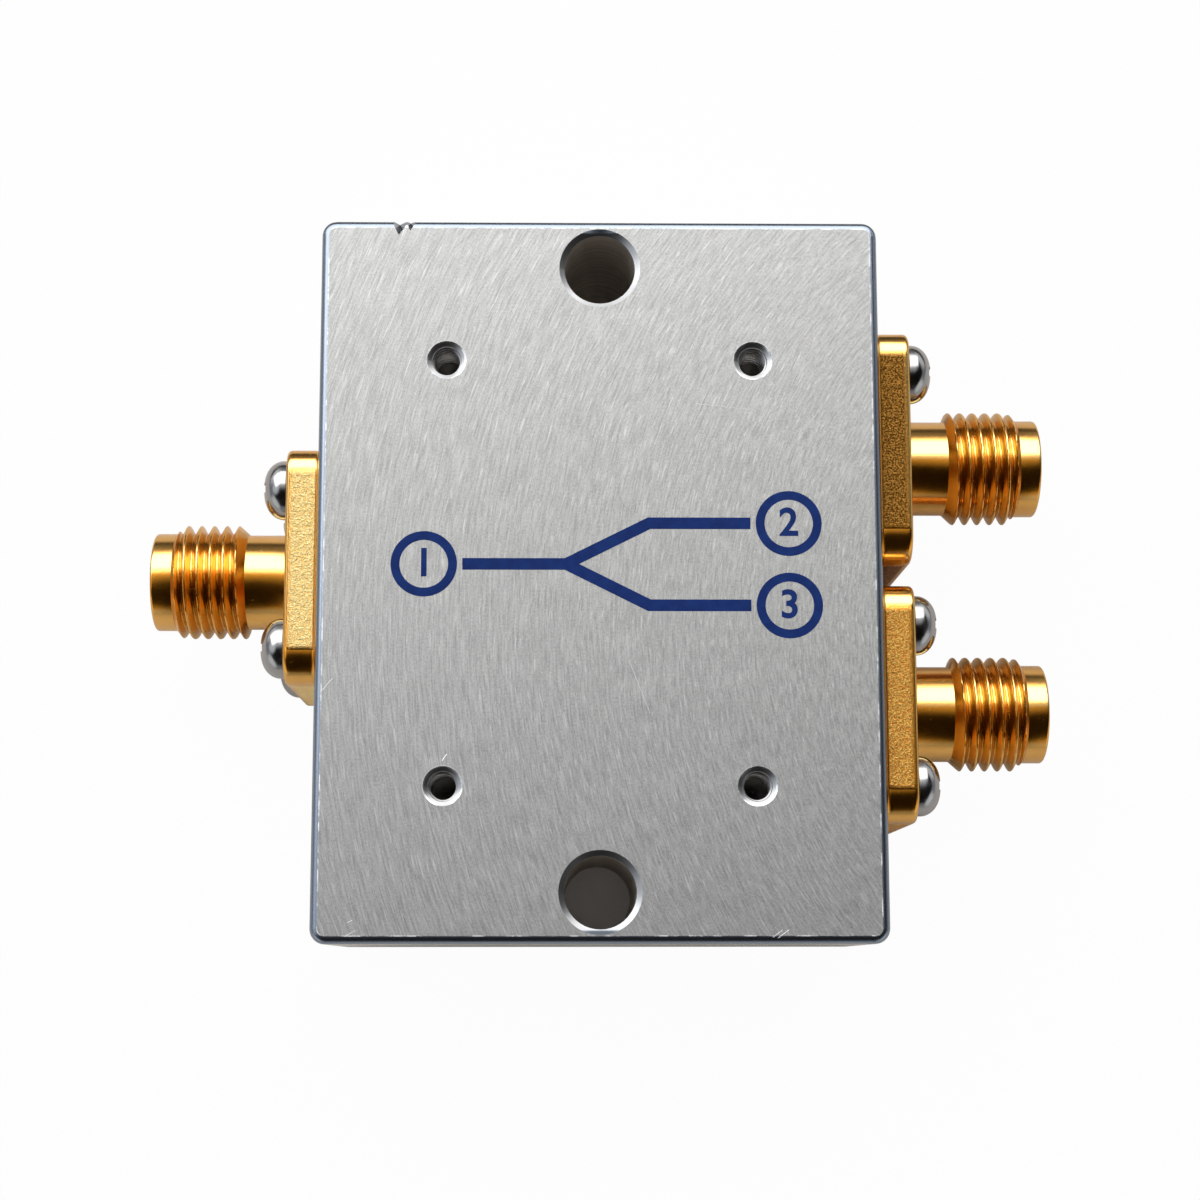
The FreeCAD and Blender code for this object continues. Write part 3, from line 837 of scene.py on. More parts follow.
@dataclass
class SocketShell:
    """Gold plated socket body: square flange, neck, helical thread, plain tip and open mouth.

    Sizes are millimetres, in the socket's own frame: X runs out of the wall from its face.
    """

    port: Port
    flange: float = 12.7
    thickness: float = 1.75
    corner_radius: float = 1.3
    lower_corner_radius: float = 1.7
    edge_radius: float = 0.25
    hole_radius: float = 1.25
    hole_chamfer: float = 0.08
    neck_radius: float = 2.625
    neck_fillet: float = 0.1
    neck_length: float = 2.60
    thread_radius: float = 3.15
    thread_root: float = 2.70
    thread_length: float = 4.00
    thread_pitch: float = 0.7056
    thread_crest: float = 0.08
    thread_valley: float = 0.06
    thread_run_out: float = 0.25
    thread_lead_in: float = 0.42
    groove_fade: float = 0.25
    least_reach: float = 0.14
    zone_slack: float = 0.02
    corner_fade: Pair = (0.05, 0.25)
    lower_corner_gap: float = 0.06
    edge_fade: Pair = (0.03, 0.08)
    mouth_gap: float = 0.1
    tip_radius: float = 2.7
    tip_round: float = 0.14
    mouth_radius: float = 2.325
    mouth_depth: float = 1.93
    mouth_chamfer: float = 0.12
    bore_radius: float = 2.05
    arc_steps: int = 28
    straight_steps: int = 22
    corner_steps: int = 14
    radial_steps: int = 16
    hole_rings: int = 7
    edge_steps: int = 5
    side_steps: int = 8
    fillet_steps: int = 4
    rows_per_pitch: int = 22

    def __post_init__(self) -> None:
        """Read the socket's place from the frame."""
        self.seat = Seat(self.port)

    def quarter_radius(self, quarter: int) -> float:
        """Corner radius of a quarter: the lower corners in the photograph are rounder."""
        lower = quarter in ((1, 2) if self.port.side is Side.RIGHT else (0, 3))
        return self.lower_corner_radius if lower else self.corner_radius

    def outline(self, inset: float, corner_radius: float) -> np.ndarray:
        """First quarter of the flange's outline, drawn in by an inset.

        Formula: a straight run up from the middle of one side, a quarter arc round the corner
        and a straight run to the middle of the next side, each drawn in along its normal.

        Args:
            inset: Distance inside the outline.
            corner_radius: Radius of the corner.

        Returns:
            Points (y, z) of the quarter, both ends included.
        """
        straight = self.flange / 2 - corner_radius
        run = np.linspace(0.0, straight, self.straight_steps + 1)
        up = np.stack([np.full_like(run, self.flange / 2 - inset), run], axis=-1)
        corner = arc_points((straight, straight), corner_radius - inset, 0.0, 90.0, self.corner_steps)
        return np.concatenate([up, corner[1:-1], up[::-1, ::-1]])

    def quarter_plate(self, inner_radius: float, corner_radius: float, hole_radius: float) -> np.ndarray:
        """Quarter of a flange face as rings about its screw hole.

        Formula: each ray from the hole's centre to a point of the quarter's border is cut where
        it leaves the hole, and the rings share out what is left of it evenly.

        Args:
            inner_radius: Radius of the round border about the socket's axis.
            corner_radius: Radius of the flange's corner.
            hole_radius: Radius of the screw hole.

        Returns:
            Points (rings, border points, 2), from the hole outward.
        """
        outer = self.outline(self.edge_radius, corner_radius)
        reach = np.linspace(inner_radius, outer[0, 0], self.radial_steps + 1)
        first = np.stack([reach, np.zeros_like(reach)], axis=-1)
        inner = arc_points((0.0, 0.0), inner_radius, 90.0, 0.0, self.arc_steps)
        border = np.concatenate([first[:-1], outer[:-1], first[:0:-1, ::-1], inner[:-1]])
        centre = np.full(2, HOLE_PITCH / 2)
        away = border - centre
        rim = centre + hole_radius * away / np.linalg.norm(away, axis=1, keepdims=True)
        share = np.linspace(0.0, 1.0, self.hole_rings)[:, None, None]
        return rim[None] * (1.0 - share) + border[None] * share

    @staticmethod
    def quarter_turn(points: np.ndarray, quarter: int) -> np.ndarray:
        """Turn (y, z) points about the axis by a number of quarter turns."""
        return points @ np.linalg.matrix_power(NEXT_QUARTER, quarter)

    @staticmethod
    def lay(points: np.ndarray, x: float) -> np.ndarray:
        """Stand (y, z) points at a distance x from the wall."""
        return np.concatenate([np.full((*points.shape[:-1], 1), x), points], axis=-1)

    def add_flange(self, surface: Surface) -> None:
        """Add both faces, the rim with its rounded edges and the four hole walls.

        Args:
            surface: Surface that collects the shell.
        """
        mouth = self.hole_radius + self.hole_chamfer
        for quarter in range(4):
            corner = self.quarter_radius(quarter)
            front, back, centre = (self.quarter_turn(points, quarter) for points in (
                self.quarter_plate(self.neck_radius + self.neck_fillet, corner, mouth),
                self.quarter_plate(self.bore_radius, corner, self.hole_radius),
                np.full((1, 2), HOLE_PITCH / 2)))
            waist = centre + (front[0] - centre) * self.hole_radius / mouth
            surface.grid(self.lay(front, self.thickness))
            surface.grid(self.lay(back, 0.0))
            wall = ((front[0], self.thickness), (waist, self.thickness - self.hole_chamfer), (back[0], 0.0))
            surface.grid(np.stack([self.lay(ring, x) for ring, x in wall]))
        edge = self.edge_radius - arc_points((0.0, 0.0), self.edge_radius, 0.0, 90.0, self.edge_steps)
        sides = np.linspace(self.edge_radius, self.thickness - self.edge_radius, self.side_steps + 1)[1:-1]
        section = [*edge, *((x, 0.0) for x in sides)]
        section += [(self.thickness - x, inset) for x, inset in edge[::-1]]
        rows = []
        for x, inset in section:
            loop = [self.quarter_turn(self.outline(inset, self.quarter_radius(quarter))[:-1], quarter)
                    for quarter in range(4)]
            rows.append(self.lay(np.concatenate(loop), x))
        surface.grid(np.stack(rows))

    def add_barrel(self, surface: Surface) -> None:
        """Add the neck, the thread, the tip and the mouth down to the bore.

        The thread's radius runs from root to crest with the helical ridge and is held under a
        cone at each end. Near the neck the first groove fades in along its helix, by how far its
        middle lies past the start of the thread, and the cone reaches from the neck to the crest
        of the ridge before that groove, so that the ridge's outer flank falls straight to the neck.

        Args:
            surface: Surface that collects the shell.
        """
        angles = circle(4 * self.arc_steps)
        start = self.thickness + self.neck_length
        end = start + self.thread_length
        fillet = arc_points((self.thickness + self.neck_fillet, self.neck_radius + self.neck_fillet),
                            self.neck_fillet, 180.0, 270.0, self.fillet_steps)
        neck = np.append(fillet, [[start, self.neck_radius]], axis=0)
        surface.grid(turned_grid(neck[:, 0], neck[:, 1], angles))

        pitch = self.thread_pitch
        x = np.linspace(start, end, int(self.thread_length / pitch * self.rows_per_pitch) + 1)
        turn = angles[None, :] / FULL_TURN
        fade_in = self.groove_fade * pitch
        valley = pitch * (np.round(x[:, None] / pitch - turn) + turn) - start
        groove = smooth_step((valley - self.thread_run_out) / fade_in)
        ridge = 1.0 - (1.0 - helical_ridge(x, angles, pitch, self.thread_crest, self.thread_valley)) * groove
        past = (pitch * turn - start - self.thread_run_out) % pitch
        reach = self.thread_run_out + past + pitch * (0.5 - smooth_step(past / fade_in))
        rise = self.thread_radius - self.neck_radius
        cone_in = self.neck_radius + rise * (x[:, None] - start) / np.maximum(reach, self.least_reach)
        cone_out = self.tip_radius + rise * (end - x[:, None]) / self.thread_lead_in
        height = self.thread_root + (self.thread_radius - self.thread_root) * ridge
        radius = np.minimum(height, np.minimum(cone_in, cone_out))
        radius[0] = self.neck_radius
        radius[-1] = self.tip_radius
        surface.grid(turned_grid(x, radius, angles))

        tip = self.seat.length
        rounded = arc_points((tip - self.tip_round, self.tip_radius - self.tip_round),
                             self.tip_round, 90.0, 0.0, self.edge_steps)
        mouth = [
            (tip, self.mouth_radius + self.mouth_chamfer),
            (tip - self.mouth_chamfer, self.mouth_radius),
            (tip - self.mouth_depth, self.mouth_radius),
            (tip - self.mouth_depth, self.bore_radius),
            (0.0, self.bore_radius),
        ]
        profile = np.concatenate([[(end, self.tip_radius)], rounded, mouth])
        surface.grid(turned_grid(profile[:, 0], profile[:, 1], angles))

    def mark_zones(self, obj: bpy.types.Object) -> None:
        """Write the cast_side attribute on the flange's flat sides, and groove in the thread.

        Formula: a vertex is on a cast side where the larger of its two distances from the axis
        reaches the flange's side, the smaller one stays clear of the round corner, and it lies
        between the two rounded edges. The groove's value grows from the crest to the root, and sets
        the share of painted shade in the thread.

        Args:
            obj: The shell's object.
        """
        mesh = obj.data
        place = np.empty(len(mesh.vertices) * 3)
        mesh.vertices.foreach_get("co", place)
        place = place.reshape(-1, 3) / MM
        off = np.abs(place[:, 1:] - np.array([self.seat.axis_y, self.seat.axis_z]))
        depth = np.abs(place[:, 0] - self.seat.wall_x)
        half = self.flange / 2
        lower = self.lower_corner_radius + self.lower_corner_gap
        corner = np.where(place[:, 1] < self.seat.axis_y, lower, self.corner_radius)
        on_side = (off.max(axis=1) > half - self.zone_slack).astype(float)
        clear = smooth_step((half - corner - off.min(axis=1) + self.corner_fade[0]) / self.corner_fade[1])
        inside = self.thickness - self.edge_radius - depth
        inside = smooth_step((inside + self.edge_fade[0]) / self.edge_fade[1])
        radius = np.hypot(off[:, 0], off[:, 1])
        from_middle = np.abs(depth - self.thickness - self.neck_length - self.thread_length / 2)
        in_thread = from_middle < self.thread_length / 2 - self.zone_slack
        in_thread = in_thread & (radius > self.mouth_radius + self.mouth_gap)
        low = self.thread_radius - self.zone_slack - radius
        low = smooth_step(low / (self.thread_radius - self.thread_root))
        for name, value in (("cast_side", on_side * clear * inside), ("groove", low * in_thread)):
            attribute = mesh.attributes.new(name, "FLOAT", "POINT")
            attribute.data.foreach_set("value", value.astype(np.float32))

    def build(self, gold: bpy.types.Material) -> bpy.types.Object:
        """Build the shell where its node stands.

        Args:
            gold: Gold plate with its pebbled zones.

        Returns:
            The shell, which replaces its node.
        """
        surface = Surface()
        self.add_flange(surface)
        self.add_barrel(surface)
        self.seat.carry(surface, self.seat.sign)
        obj = surface.build(f"{self.port.value}_shell_dressed")
        self.mark_zones(obj)
        dress(obj, gold)
        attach(obj, ROOT)
        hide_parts(f"{self.port.value}_shell")
        return obj


@dataclass
class PanScrews:
    """Pan head screws of one flange: rounded heads with a cross recess, and threaded shanks.

    Sizes are millimetres. A screw's own frame has the head on X = 0 and the shank below it.
    """

    port: Port
    corners: tuple[tuple[int, int], ...]
    head_radius: float = 1.6
    head_height: float = 1.36
    head_rim: float = 0.30
    foot_round: float = 0.06
    crown_share: float = 0.62
    crown_powers: Pair = (2.6, 1.9)
    rim_crowding: float = 1.8
    crown_rows: int = 42
    rim_rows: int = 25
    flange_thickness: float = 1.75
    cross_span: float = 0.95
    cross_width: float = 0.24
    cross_depth: float = 0.72
    cross_wall: float = 0.07
    shank_length: float = 5.0
    shank_radius: float = 0.78
    tip_length: float = 0.3
    tip_share: float = 0.75
    thread_pitch: float = 0.4
    thread_depth: float = 0.07
    thread_flat: float = 0.1
    rows_per_pitch: int = 8
    columns: int = 96

    def head_grid(self) -> np.ndarray:
        """Top of the head, from its middle to its rim, with the recess sunk in it.

        Formula: the crown follows a quarter of a squared ellipse, x = rim + (height - rim)
        times (1 - s^a)^(1 / b) at the share s of the head's radius. The recess lowers it by
        its depth wherever a point lies inside one of two crossed bars, with soft walls.

        Returns:
            Points of shape (rows, columns, 3).
        """
        toward_rim = np.linspace(0.0, 1.0, self.rim_rows + 1)[1:]
        share = np.concatenate([np.linspace(0.0, self.crown_share, self.crown_rows),
                                1.0 - (1.0 - toward_rim) ** self.rim_crowding * (1.0 - self.crown_share)])
        fall, flatten = self.crown_powers
        crown = self.head_rim + (self.head_height - self.head_rim) * (1.0 - share ** fall) ** (1 / flatten)
        grid = turned_grid(crown, share * self.head_radius, circle(self.columns))
        away = np.abs(grid[..., 1:])
        inside = smooth_step((self.cross_span - away) / (self.cross_wall * 3))
        across = smooth_step((self.cross_width - away[..., ::-1]) / self.cross_wall)
        grid[..., 0] -= (inside * across).max(axis=-1) * self.cross_depth
        return grid

    def one_screw(self, surface: Surface, y: float, z: float) -> None:
        """Add one screw at a place on the flange.

        Args:
            surface: Surface that collects the screws.
            y: Place across the flange.
            z: Height across the flange.
        """
        place = np.array([self.flange_thickness, y, z])
        angles = circle(self.columns)
        under = np.array([[self.head_rim, self.head_radius], [self.foot_round, self.head_radius],
                          [0.0, self.head_radius - self.foot_round], [0.0, self.shank_radius]])
        rows = int(self.shank_length / self.thread_pitch * self.rows_per_pitch)
        x = np.linspace(0.0, -self.shank_length, rows + 1)
        ridge = helical_ridge(x, angles, self.thread_pitch, self.thread_flat, self.thread_flat)
        radius = self.shank_radius - self.thread_depth * (1.0 - ridge)
        radius[0] = self.shank_radius
        lead = np.clip((self.shank_length + x) / self.tip_length, 0.0, 1.0)[:, None]
        radius *= self.tip_share + (1.0 - self.tip_share) * lead
        shank = turned_grid(x, radius, angles) + place
        surface.grid(self.head_grid() + place)
        surface.grid(turned_grid(under[:, 0], under[:, 1], angles) + place)
        surface.grid(shank)
        surface.cap(shank[-1])

    def build(self, steel: bpy.types.Material) -> bpy.types.Object:
        """Build the flange's screws where their node stands.

        Args:
            steel: Finish of the screws.

        Returns:
            One object with all the screws of the flange, which replaces their node.
        """
        surface = Surface()
        for sign_y, sign_z in self.corners:
            self.one_screw(surface, sign_y * HOLE_PITCH / 2, sign_z * HOLE_PITCH / 2)
        Seat(self.port).carry(surface, 1.0)
        obj = surface.build(f"{self.port.value}_screws_dressed")
        dress(obj, steel)
        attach(obj, ROOT)
        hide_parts(f"{self.port.value}_screws")
        return obj


@dataclass
class HoleThreads:
    """Threads of the tapped holes, as thin linings whose inner walls carry the helical ridge."""

    bore_radius: float = 0.8
    crest_radius: float = 0.67
    pitch: float = 0.4
    crest_flat: float = 0.12
    root_flat: float = 0.10
    face_depth: float = 0.26
    side_depth: float = 0.02
    length: float = 3.1
    inner_gap: float = 0.012
    outer_gap: float = 0.002
    rows_per_pitch: int = 12
    columns: int = 56

    def lining(self, surface: Surface, mouth: Triple, inward: Triple, start_depth: float) -> None:
        """Add the lining of one hole.

        Formula: the inner wall's radius falls from just inside the bore to the crest with the
        helical ridge, and the ridge fades in over half a turn and out over the last half.

        Args:
            surface: Surface that collects the linings.
            mouth: Middle of the hole's mouth.
            inward: Direction of the hole.
            start_depth: How far below the mouth the lining starts.
        """
        x = np.linspace(0.0, self.length, int(self.length / self.pitch * self.rows_per_pitch) + 1)
        ridge = helical_ridge(x, circle(self.columns), self.pitch, self.crest_flat, self.root_flat)
        fade = smooth_step(np.minimum(x, self.length - x) / (self.pitch / 2))[:, None]
        wall = self.bore_radius - self.inner_gap
        inner = wall - (wall - self.crest_radius) * ridge * fade
        outer = np.full((2, self.columns), self.bore_radius - self.outer_gap)
        places = np.concatenate([x, [self.length, 0.0]]) + start_depth
        grid = turned_grid(places, np.concatenate([inner, outer]), circle(self.columns))
        turn = np.array(Vector((1.0, 0.0, 0.0)).rotation_difference(Vector(inward)).to_matrix())
        surface.grid(grid @ turn.T + np.array(mouth), wrap_rows=True)

    def build(self, finish: bpy.types.Material) -> bpy.types.Object:
        """Line the tapped holes of the face and the two open holes of the low band flange.

        Args:
            finish: Finish of the block.

        Returns:
            One object with every lining.
        """
        surface = Surface()
        for sign_x, sign_y in FLANGE_CORNERS:
            mouth = (sign_x * TAP_PITCH[0] / 2, TAP_MIDDLE_Y + sign_y * TAP_PITCH[1] / 2, FACE_Z)
            self.lining(surface, mouth, (0.0, 0.0, -1.0), self.face_depth)
        seat = Seat(Port.LOW_BAND)
        for sign_y, sign_z in OPEN_CORNERS:
            mouth = np.array([seat.axis_y, seat.axis_z]) + np.array([sign_y, sign_z]) * HOLE_PITCH / 2
            self.lining(surface, (seat.wall_x, *mouth), (-1.0, 0.0, 0.0), self.side_depth)
        obj = surface.build("tapped_hole_threads")
        dress(obj, finish)
        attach(obj, ROOT)
        return obj


@dataclass
class PortMark:
    """Blue print on the face: three rings joined by a forked line, with a plain number in each."""

    height: float = 0.012
    line: float = 0.62
    ring_outer: float = 1.75
    ring_inner: float = 1.28
    left: Pair = (-9.3, 0.5)
    upper: Pair = (10.0, 2.7)
    lower: Pair = (10.0, -1.7)
    fork_x: float = -1.8
    bend_x: float = 2.6
    gap: float = 0.28
    number_size: float = 2.1
    number_weight: float = 0.045
    ring_columns: int = 128

    def ring(self, surface: Surface, centre: Pair) -> None:
        """Add a flat ring: a rectangle of two radii and two heights carried round a circle.

        Args:
            surface: Surface that collects the print.
            centre: Middle of the ring.
        """
        radius = np.array([self.ring_inner, self.ring_outer, self.ring_outer, self.ring_inner])
        level = FACE_Z + self.height * np.array([0.0, 0.0, 1.0, 1.0])
        grid = turned_grid(level, radius, circle(self.ring_columns))[..., [1, 2, 0]]
        surface.grid(grid + np.array([*centre, 0.0]), wrap_rows=True)

    def strip(self, surface: Surface, left: list[Pair], right: list[Pair]) -> None:
        """Add a flat line between two edges given point by point.

        Args:
            surface: Surface that collects the print.
            left: Points (x, y) of the edge on the left of the line's run.
            right: Points (x, y) of the edge on its right.
        """
        grid = np.array([[(*a, FACE_Z), (*b, FACE_Z), (*b, FACE_Z + self.height), (*a, FACE_Z + self.height)]
                         for a, b in zip(left, right)])
        surface.grid(grid)
        surface.cap(grid[0])
        surface.cap(grid[-1])

    def fork(self, surface: Surface) -> None:
        """Add the forked line: the trunk with its upper branch, and the lower branch that meets it.

        Formula: both branches leave the trunk at the same angle a. The edges of a bend lie half a
        width off its middle, shifted along the run by half a width times tan(a / 2). The inner
        edges of the two branches meet half a width over sin(a) past the fork.

        Args:
            surface: Surface that collects the print.
        """
        half = self.line / 2
        start_x, axis = self.left[0] + self.ring_outer + self.gap, self.left[1]
        stop_x = self.upper[0] - self.ring_outer - self.gap
        rise = self.upper[1] - axis
        angle = math.atan2(rise, self.bend_x - self.fork_x)
        shift = half * math.tan(angle / 2)
        near, far = self.bend_x - shift, self.bend_x + shift
        crotch = (self.fork_x + half / math.sin(angle), axis)
        corner = (self.fork_x + shift, axis - half)
        foot = (self.fork_x - shift, axis - half)
        along = np.array([math.cos(angle), -math.sin(angle)])
        below = np.array(crotch) + self.line * np.array([-math.sin(angle), -math.cos(angle)])
        below = np.array(foot) + along * float(np.dot(below - np.array(foot), along))
        self.strip(surface,
                   [(start_x, axis + half), (foot[0], axis + half), (near, axis + rise + half),
                    (stop_x, axis + rise + half)],
                   [(start_x, axis - half), corner, (far, axis + rise - half), (stop_x, axis + rise - half)])
        self.strip(surface,
                   [corner, crotch, (far, axis - rise + half), (stop_x, axis - rise + half)],
                   [foot, tuple(below), (near, axis - rise - half), (stop_x, axis - rise - half)])

    def number(self, text: str, centre: Pair) -> bpy.types.Object:
        """Make one plain number as a thin mesh.

        Args:
            text: The number.
            centre: Its middle on the face.

        Returns:
            The number's object, with its place in its mesh.
        """
        curve = bpy.data.curves.new(f"number_{text}", "FONT")
        curve.body = text
        curve.size = self.number_size * MM
        curve.align_x = curve.align_y = "CENTER"
        curve.extrude = self.height / 2 * MM
        curve.offset = self.number_weight * MM
        source = bpy.data.objects.new(f"number_{text}_curve", curve)
        bpy.context.scene.collection.objects.link(source)
        bpy.context.view_layer.update()
        mesh = bpy.data.meshes.new_from_object(source)
        mesh.name = f"port_number_{text}"
        bpy.data.objects.remove(source)
        mesh.transform(Matrix.Translation(Vector((*centre, FACE_Z + self.height / 2)) * MM))
        obj = bpy.data.objects.new(mesh.name, mesh)
        bpy.context.scene.collection.objects.link(obj)
        return obj

    def build(self, ink: bpy.types.Material) -> list[bpy.types.Object]:
        """Build the print.

        Args:
            ink: Finish of the print.

        Returns:
            The forked lines with their rings, and the three numbers.
        """
        surface = Surface()
        centres = (self.left, self.upper, self.lower)
        for centre in centres:
            self.ring(surface, centre)
        self.fork(surface)
        marks = [surface.build("port_diagram", crease=20.0)]
        marks += [self.number(text, centre) for text, centre in zip("123", centres)]
        for mark in marks:
            dress(mark, ink)
            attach(mark, ROOT)
        return marks


@dataclass(frozen=True)
class Studio:
    """Pale floor, soft panel, room and camera, at the photograph's viewing angle."""

    focal_px: float = 2294.4
    image_px: float = 1200.0
    sensor: float = 36.0
    clip: Pair = (0.005, 10.0)
    camera_place: Triple = (-1.827, -20.676, 133.253)
    camera_aim: Triple = (0.099, -0.295, 7.0)
    camera_roll: float = -0.001
    panel_place: Triple = (-60.0, 278.0, 294.0)
    panel_aim: Triple = (0.0, 0.0, 7.0)
    panel_size: Pair = (800.0, 400.0)
    panel_power: float = 2.42
    room_dark: Triple = (0.009, 0.008, 0.007)
    room_glow: Triple = (0.09, 0.10, 0.12)
    window: Triple = (0.85, 0.91, 1.00)
    window_aim: Triple = (-0.70, 0.12, 0.70)
    room_spot: Triple = (0.74, 0.76, 0.80)
    spot_aim: Triple = (0.0, 0.574, 0.819)
    horizon: Triple = (0.30, 0.32, 0.35)
    far_wall: Triple = (0.95, 0.97, 1.00)
    glow_range: Pair = (-0.35, -0.95)
    spot_range: Pair = (0.70, 0.97)
    window_range: Pair = (0.84, 0.96)
    wall_range: Pair = (0.3, 0.9)
    horizon_range: Pair = (0.22, 0.08)
    horizon_lift: float = 0.22
    floor_half: float = 1500.0
    floor_drop: float = 0.02
    floor_color: Triple = (0.66, 0.62, 0.58)
    floor_glint: float = 0.08
    covered: Pair = (14.0, 18.5)
    floor_roughness: float = 0.9
    floor_levels: Pair = (0.02, 0.97)
    # Beyond these Y places the floor is dark to every ray but the camera's: a painted dark reflection.
    painted_dark_range: Pair = (38.0, 46.0)

    def camera(self) -> None:
        """Add the camera and make it the scene's."""
        data = bpy.data.cameras.new("camera")
        data.lens = self.focal_px / self.image_px * self.sensor
        data.sensor_width = self.sensor
        data.clip_start, data.clip_end = self.clip
        place = Vector(self.camera_place) * MM
        back = (place - Vector(self.camera_aim) * MM).normalized()
        right = Vector((0.0, 1.0, 0.0)).cross(back).normalized()
        turn = Matrix((right, back.cross(right), back)).transposed()
        turn = turn @ Matrix.Rotation(self.camera_roll, 3, "Z")
        obj = bpy.data.objects.new("camera", data)
        obj.matrix_world = Matrix.Translation(place) @ turn.to_4x4()
        bpy.context.scene.collection.objects.link(obj)
        bpy.context.scene.camera = obj

    def panel(self) -> None:
        """Add the soft rectangular light."""
        data = bpy.data.lights.new("top panel", "AREA")
        data.shape = "RECTANGLE"
        data.size, data.size_y = (side * MM for side in self.panel_size)
        data.energy = self.panel_power
        obj = bpy.data.objects.new("top panel", data)
        away = (Vector(self.panel_place) - Vector(self.panel_aim)).normalized()
        turn = away.to_track_quat("Z", "Y").to_matrix().to_4x4()
        obj.matrix_world = Matrix.Translation(Vector(self.panel_place) * MM) @ turn
        bpy.context.scene.collection.objects.link(obj)

    def floor(self) -> None:
        """Add the floor that the block lies on, white to the camera and in reflections.

        It is dark right under the block, where the camera sees it only through the holes. Past y 38 mm
        it is dark to every ray but the camera's, a painted dark reflection for the metal.
        """
        surface = Surface()
        line = np.linspace(-self.floor_half, self.floor_half, 3)
        x, y = np.meshgrid(line, line, indexing="ij")
        surface.grid(np.stack([x, y, np.full_like(x, -self.floor_drop)], axis=-1), wrap_cols=False)
        obj = surface.build("floor")
        shader = Shader("floor paper")
        beside = (shader.math("GREATER_THAN", abs(value), half)
                  for value, half in zip((shader.x, shader.y), self.covered))
        # Band of painted dark reflection behind the block.
        far = shader.y.ramp(*self.painted_dark_range)
        camera_ray, glossy_ray = (shader.run("ShaderNodeLightPath", {}, f"Is {kind} Ray")
                                  for kind in ("Camera", "Glossy"))
        mirrored = glossy_ray * far.ramp(0.0, 1.0, self.floor_glint, 0.0)
        level = shader.math("MAXIMUM", *beside).ramp(0.0, 1.0, *self.floor_levels)
        seen = shader.math("MAXIMUM", camera_ray, mirrored) * level
        glow = shader.run("ShaderNodeEmission", {"Color": WHITE})
        color = shader.blend(far, self.floor_color, self.room_dark)
        material = shader.finish(color, self.floor_roughness)
        paper = Signal(shader, shader.surface.outputs[0])
        mixed = shader.run("ShaderNodeMixShader", {0: seen, 1: paper, 2: glow})
        shader.feed(shader.tree.nodes["Material Output"].inputs["Surface"], mixed)
        dress(obj, material)

    def world(self) -> None:
        """Light the room: dark overhead where the camera stands, pale along the horizon.

        Seen straight by the camera it is white.

        Formula: each glow grows with the cosine between the direction and its middle. The pale
        horizon is brightest and highest between the axes, where twice |x y| nears 1, and it
        reaches higher toward the ends of X than toward the ends of Y.
        """
        world = bpy.data.worlds.new("room")
        bpy.context.scene.world = world
        world.use_nodes = True
        sky = Nodes(world.node_tree)
        direction = sky.run("ShaderNodeTexCoord", {}, "Generated")
        sideways, along, upward = sky.axes(direction)
        between = abs(sideways * along) * 2.0
        lifted = (abs(sideways) + between) * self.horizon_lift
        wall = sky.blend(between.ramp(*self.wall_range), self.horizon, self.far_wall)
        color = self.room_dark
        for share, second in (
            (sideways.ramp(*self.glow_range), self.room_glow),
            (sky.toward(direction, self.spot_aim).ramp(*self.spot_range), self.room_spot),
            (sky.toward(direction, self.window_aim).ramp(*self.window_range), self.window),
            ((upward - lifted).ramp(*self.horizon_range), wall),
            (sky.run("ShaderNodeLightPath", {}, "Is Camera Ray"), WHITE),
        ):
            color = sky.blend(share, color, second)
        sky.feed(sky.tree.nodes["Background"].inputs["Color"], color)

    def build(self) -> None:
        """Set up the whole studio."""
        bpy.context.scene.view_settings.view_transform = "Standard"
        self.camera()
        self.floor()
        self.world()
        self.panel()


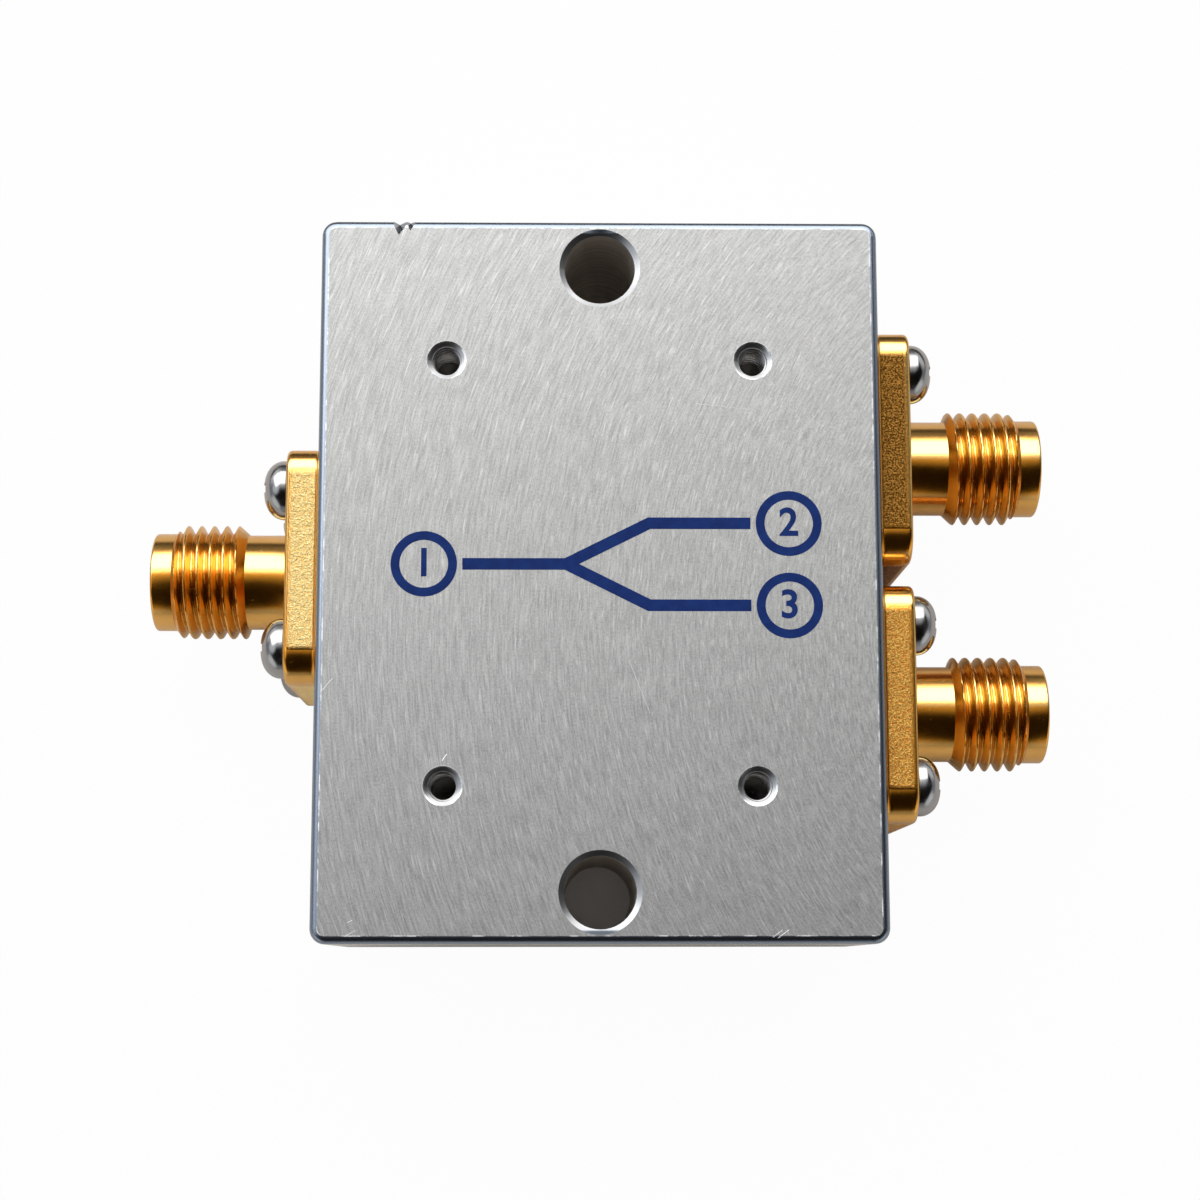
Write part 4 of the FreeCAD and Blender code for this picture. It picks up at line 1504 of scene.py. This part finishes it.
class Combiner:
    """The whole object: every finish, every node that stays and every dressed piece."""

    node_finishes = {"housing": "block", "back_cover": "cover", "contact": "contact", "insulator": "sleeve",
                     "coil": "copper", "capacitor": "ceramic", "tracks": "track", "circuit_board": "board",
                     "screws": "steel", "shell": "common"}

    def __init__(self) -> None:
        """Make every finish, by the name of what wears it."""
        styles = {
            "block": BrushedAluminium(scratches=FACE_SCRATCHES),
            "cover": BrushedAluminium("cover aluminium", arc_centre=(0.0, -400.0), roughness=0.38),
            # The three plates differ in their cast sides' colours, which paint each flange's light: the
            # common plate lit, the high band plate in painted shade, the low band plate in deeper painted
            # shade.
            "common": GoldPlate("common gold plate", cast=True),
            "low_band": GoldPlate("low band gold plate", cast=True, cast_low=(0.10, 0.040, 0.005),
                                  cast_high=(0.55, 0.265, 0.052)),
            "high_band": GoldPlate("high band gold plate", cast=True, cast_low=(0.61, 0.225, 0.038),
                                   cast_high=(0.80, 0.54, 0.135)),
            "contact": GoldPlate("contact gold plate", roughness=0.2),
            "steel": BrightSteel(),
            "ink": PlainFinish("blue ink", (0.003, 0.018, 0.110), (0.005, 0.026, 0.140), 0.55,
                               grain_scale=9.0, grain_depth=0.003, specular=0.12),
            "sleeve": PlainFinish("white sleeve", (0.86, 0.86, 0.84), (0.80, 0.80, 0.77), 0.45,
                                  grain_scale=4.0, subsurface=0.15),
            "copper": PlainFinish("coil copper", (0.72, 0.33, 0.16), (0.62, 0.25, 0.11), 0.28, 1.0, 8.0),
            "track": PlainFinish("track plating", (0.80, 0.56, 0.26), (0.72, 0.48, 0.20), 0.34, 1.0, 7.0),
            "ceramic": PlainFinish("chip ceramic", (0.42, 0.30, 0.19), (0.36, 0.25, 0.15), 0.38,
                                   grain_scale=9.0, grain_depth=0.005),
            "board": BoardWeave(),
        }
        self.finishes = {key: style.build() for key, style in styles.items()}

    def dress_nodes(self) -> list[bpy.types.Object]:
        """Give every node of the frame its finish.

        Returns:
            The nodes' objects.
        """
        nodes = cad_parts
        for name, obj in nodes.items():
            key = next(key for word, key in self.node_finishes.items() if word in name)
            dress(obj, self.finishes[key])
        return list(nodes.values())

    def sockets(self) -> list[bpy.types.Object]:
        """Build the three shells, each with the screws that it still has.

        Returns:
            The shells and the screws.
        """
        pieces = []
        for port in Port:
            lost = OPEN_CORNERS if port is Port.LOW_BAND else ()
            held = tuple(corner for corner in FLANGE_CORNERS if corner not in lost)
            pieces += [SocketShell(port).build(self.finishes[port.value]),
                       PanScrews(port, held).build(self.finishes["steel"])]
        return pieces


def main() -> None:
    combiner = Combiner()
    pieces = combiner.dress_nodes() + combiner.sockets()
    pieces.append(HoleThreads().build(combiner.finishes["block"]))
    pieces += PortMark().build(combiner.finishes["ink"])
    for piece in pieces:
        log.info("%s wears %s, %d faces", piece.name, piece.data.materials[0].name, len(piece.data.polygons))
    Studio().build()


if __name__ == "__main__":
    main()
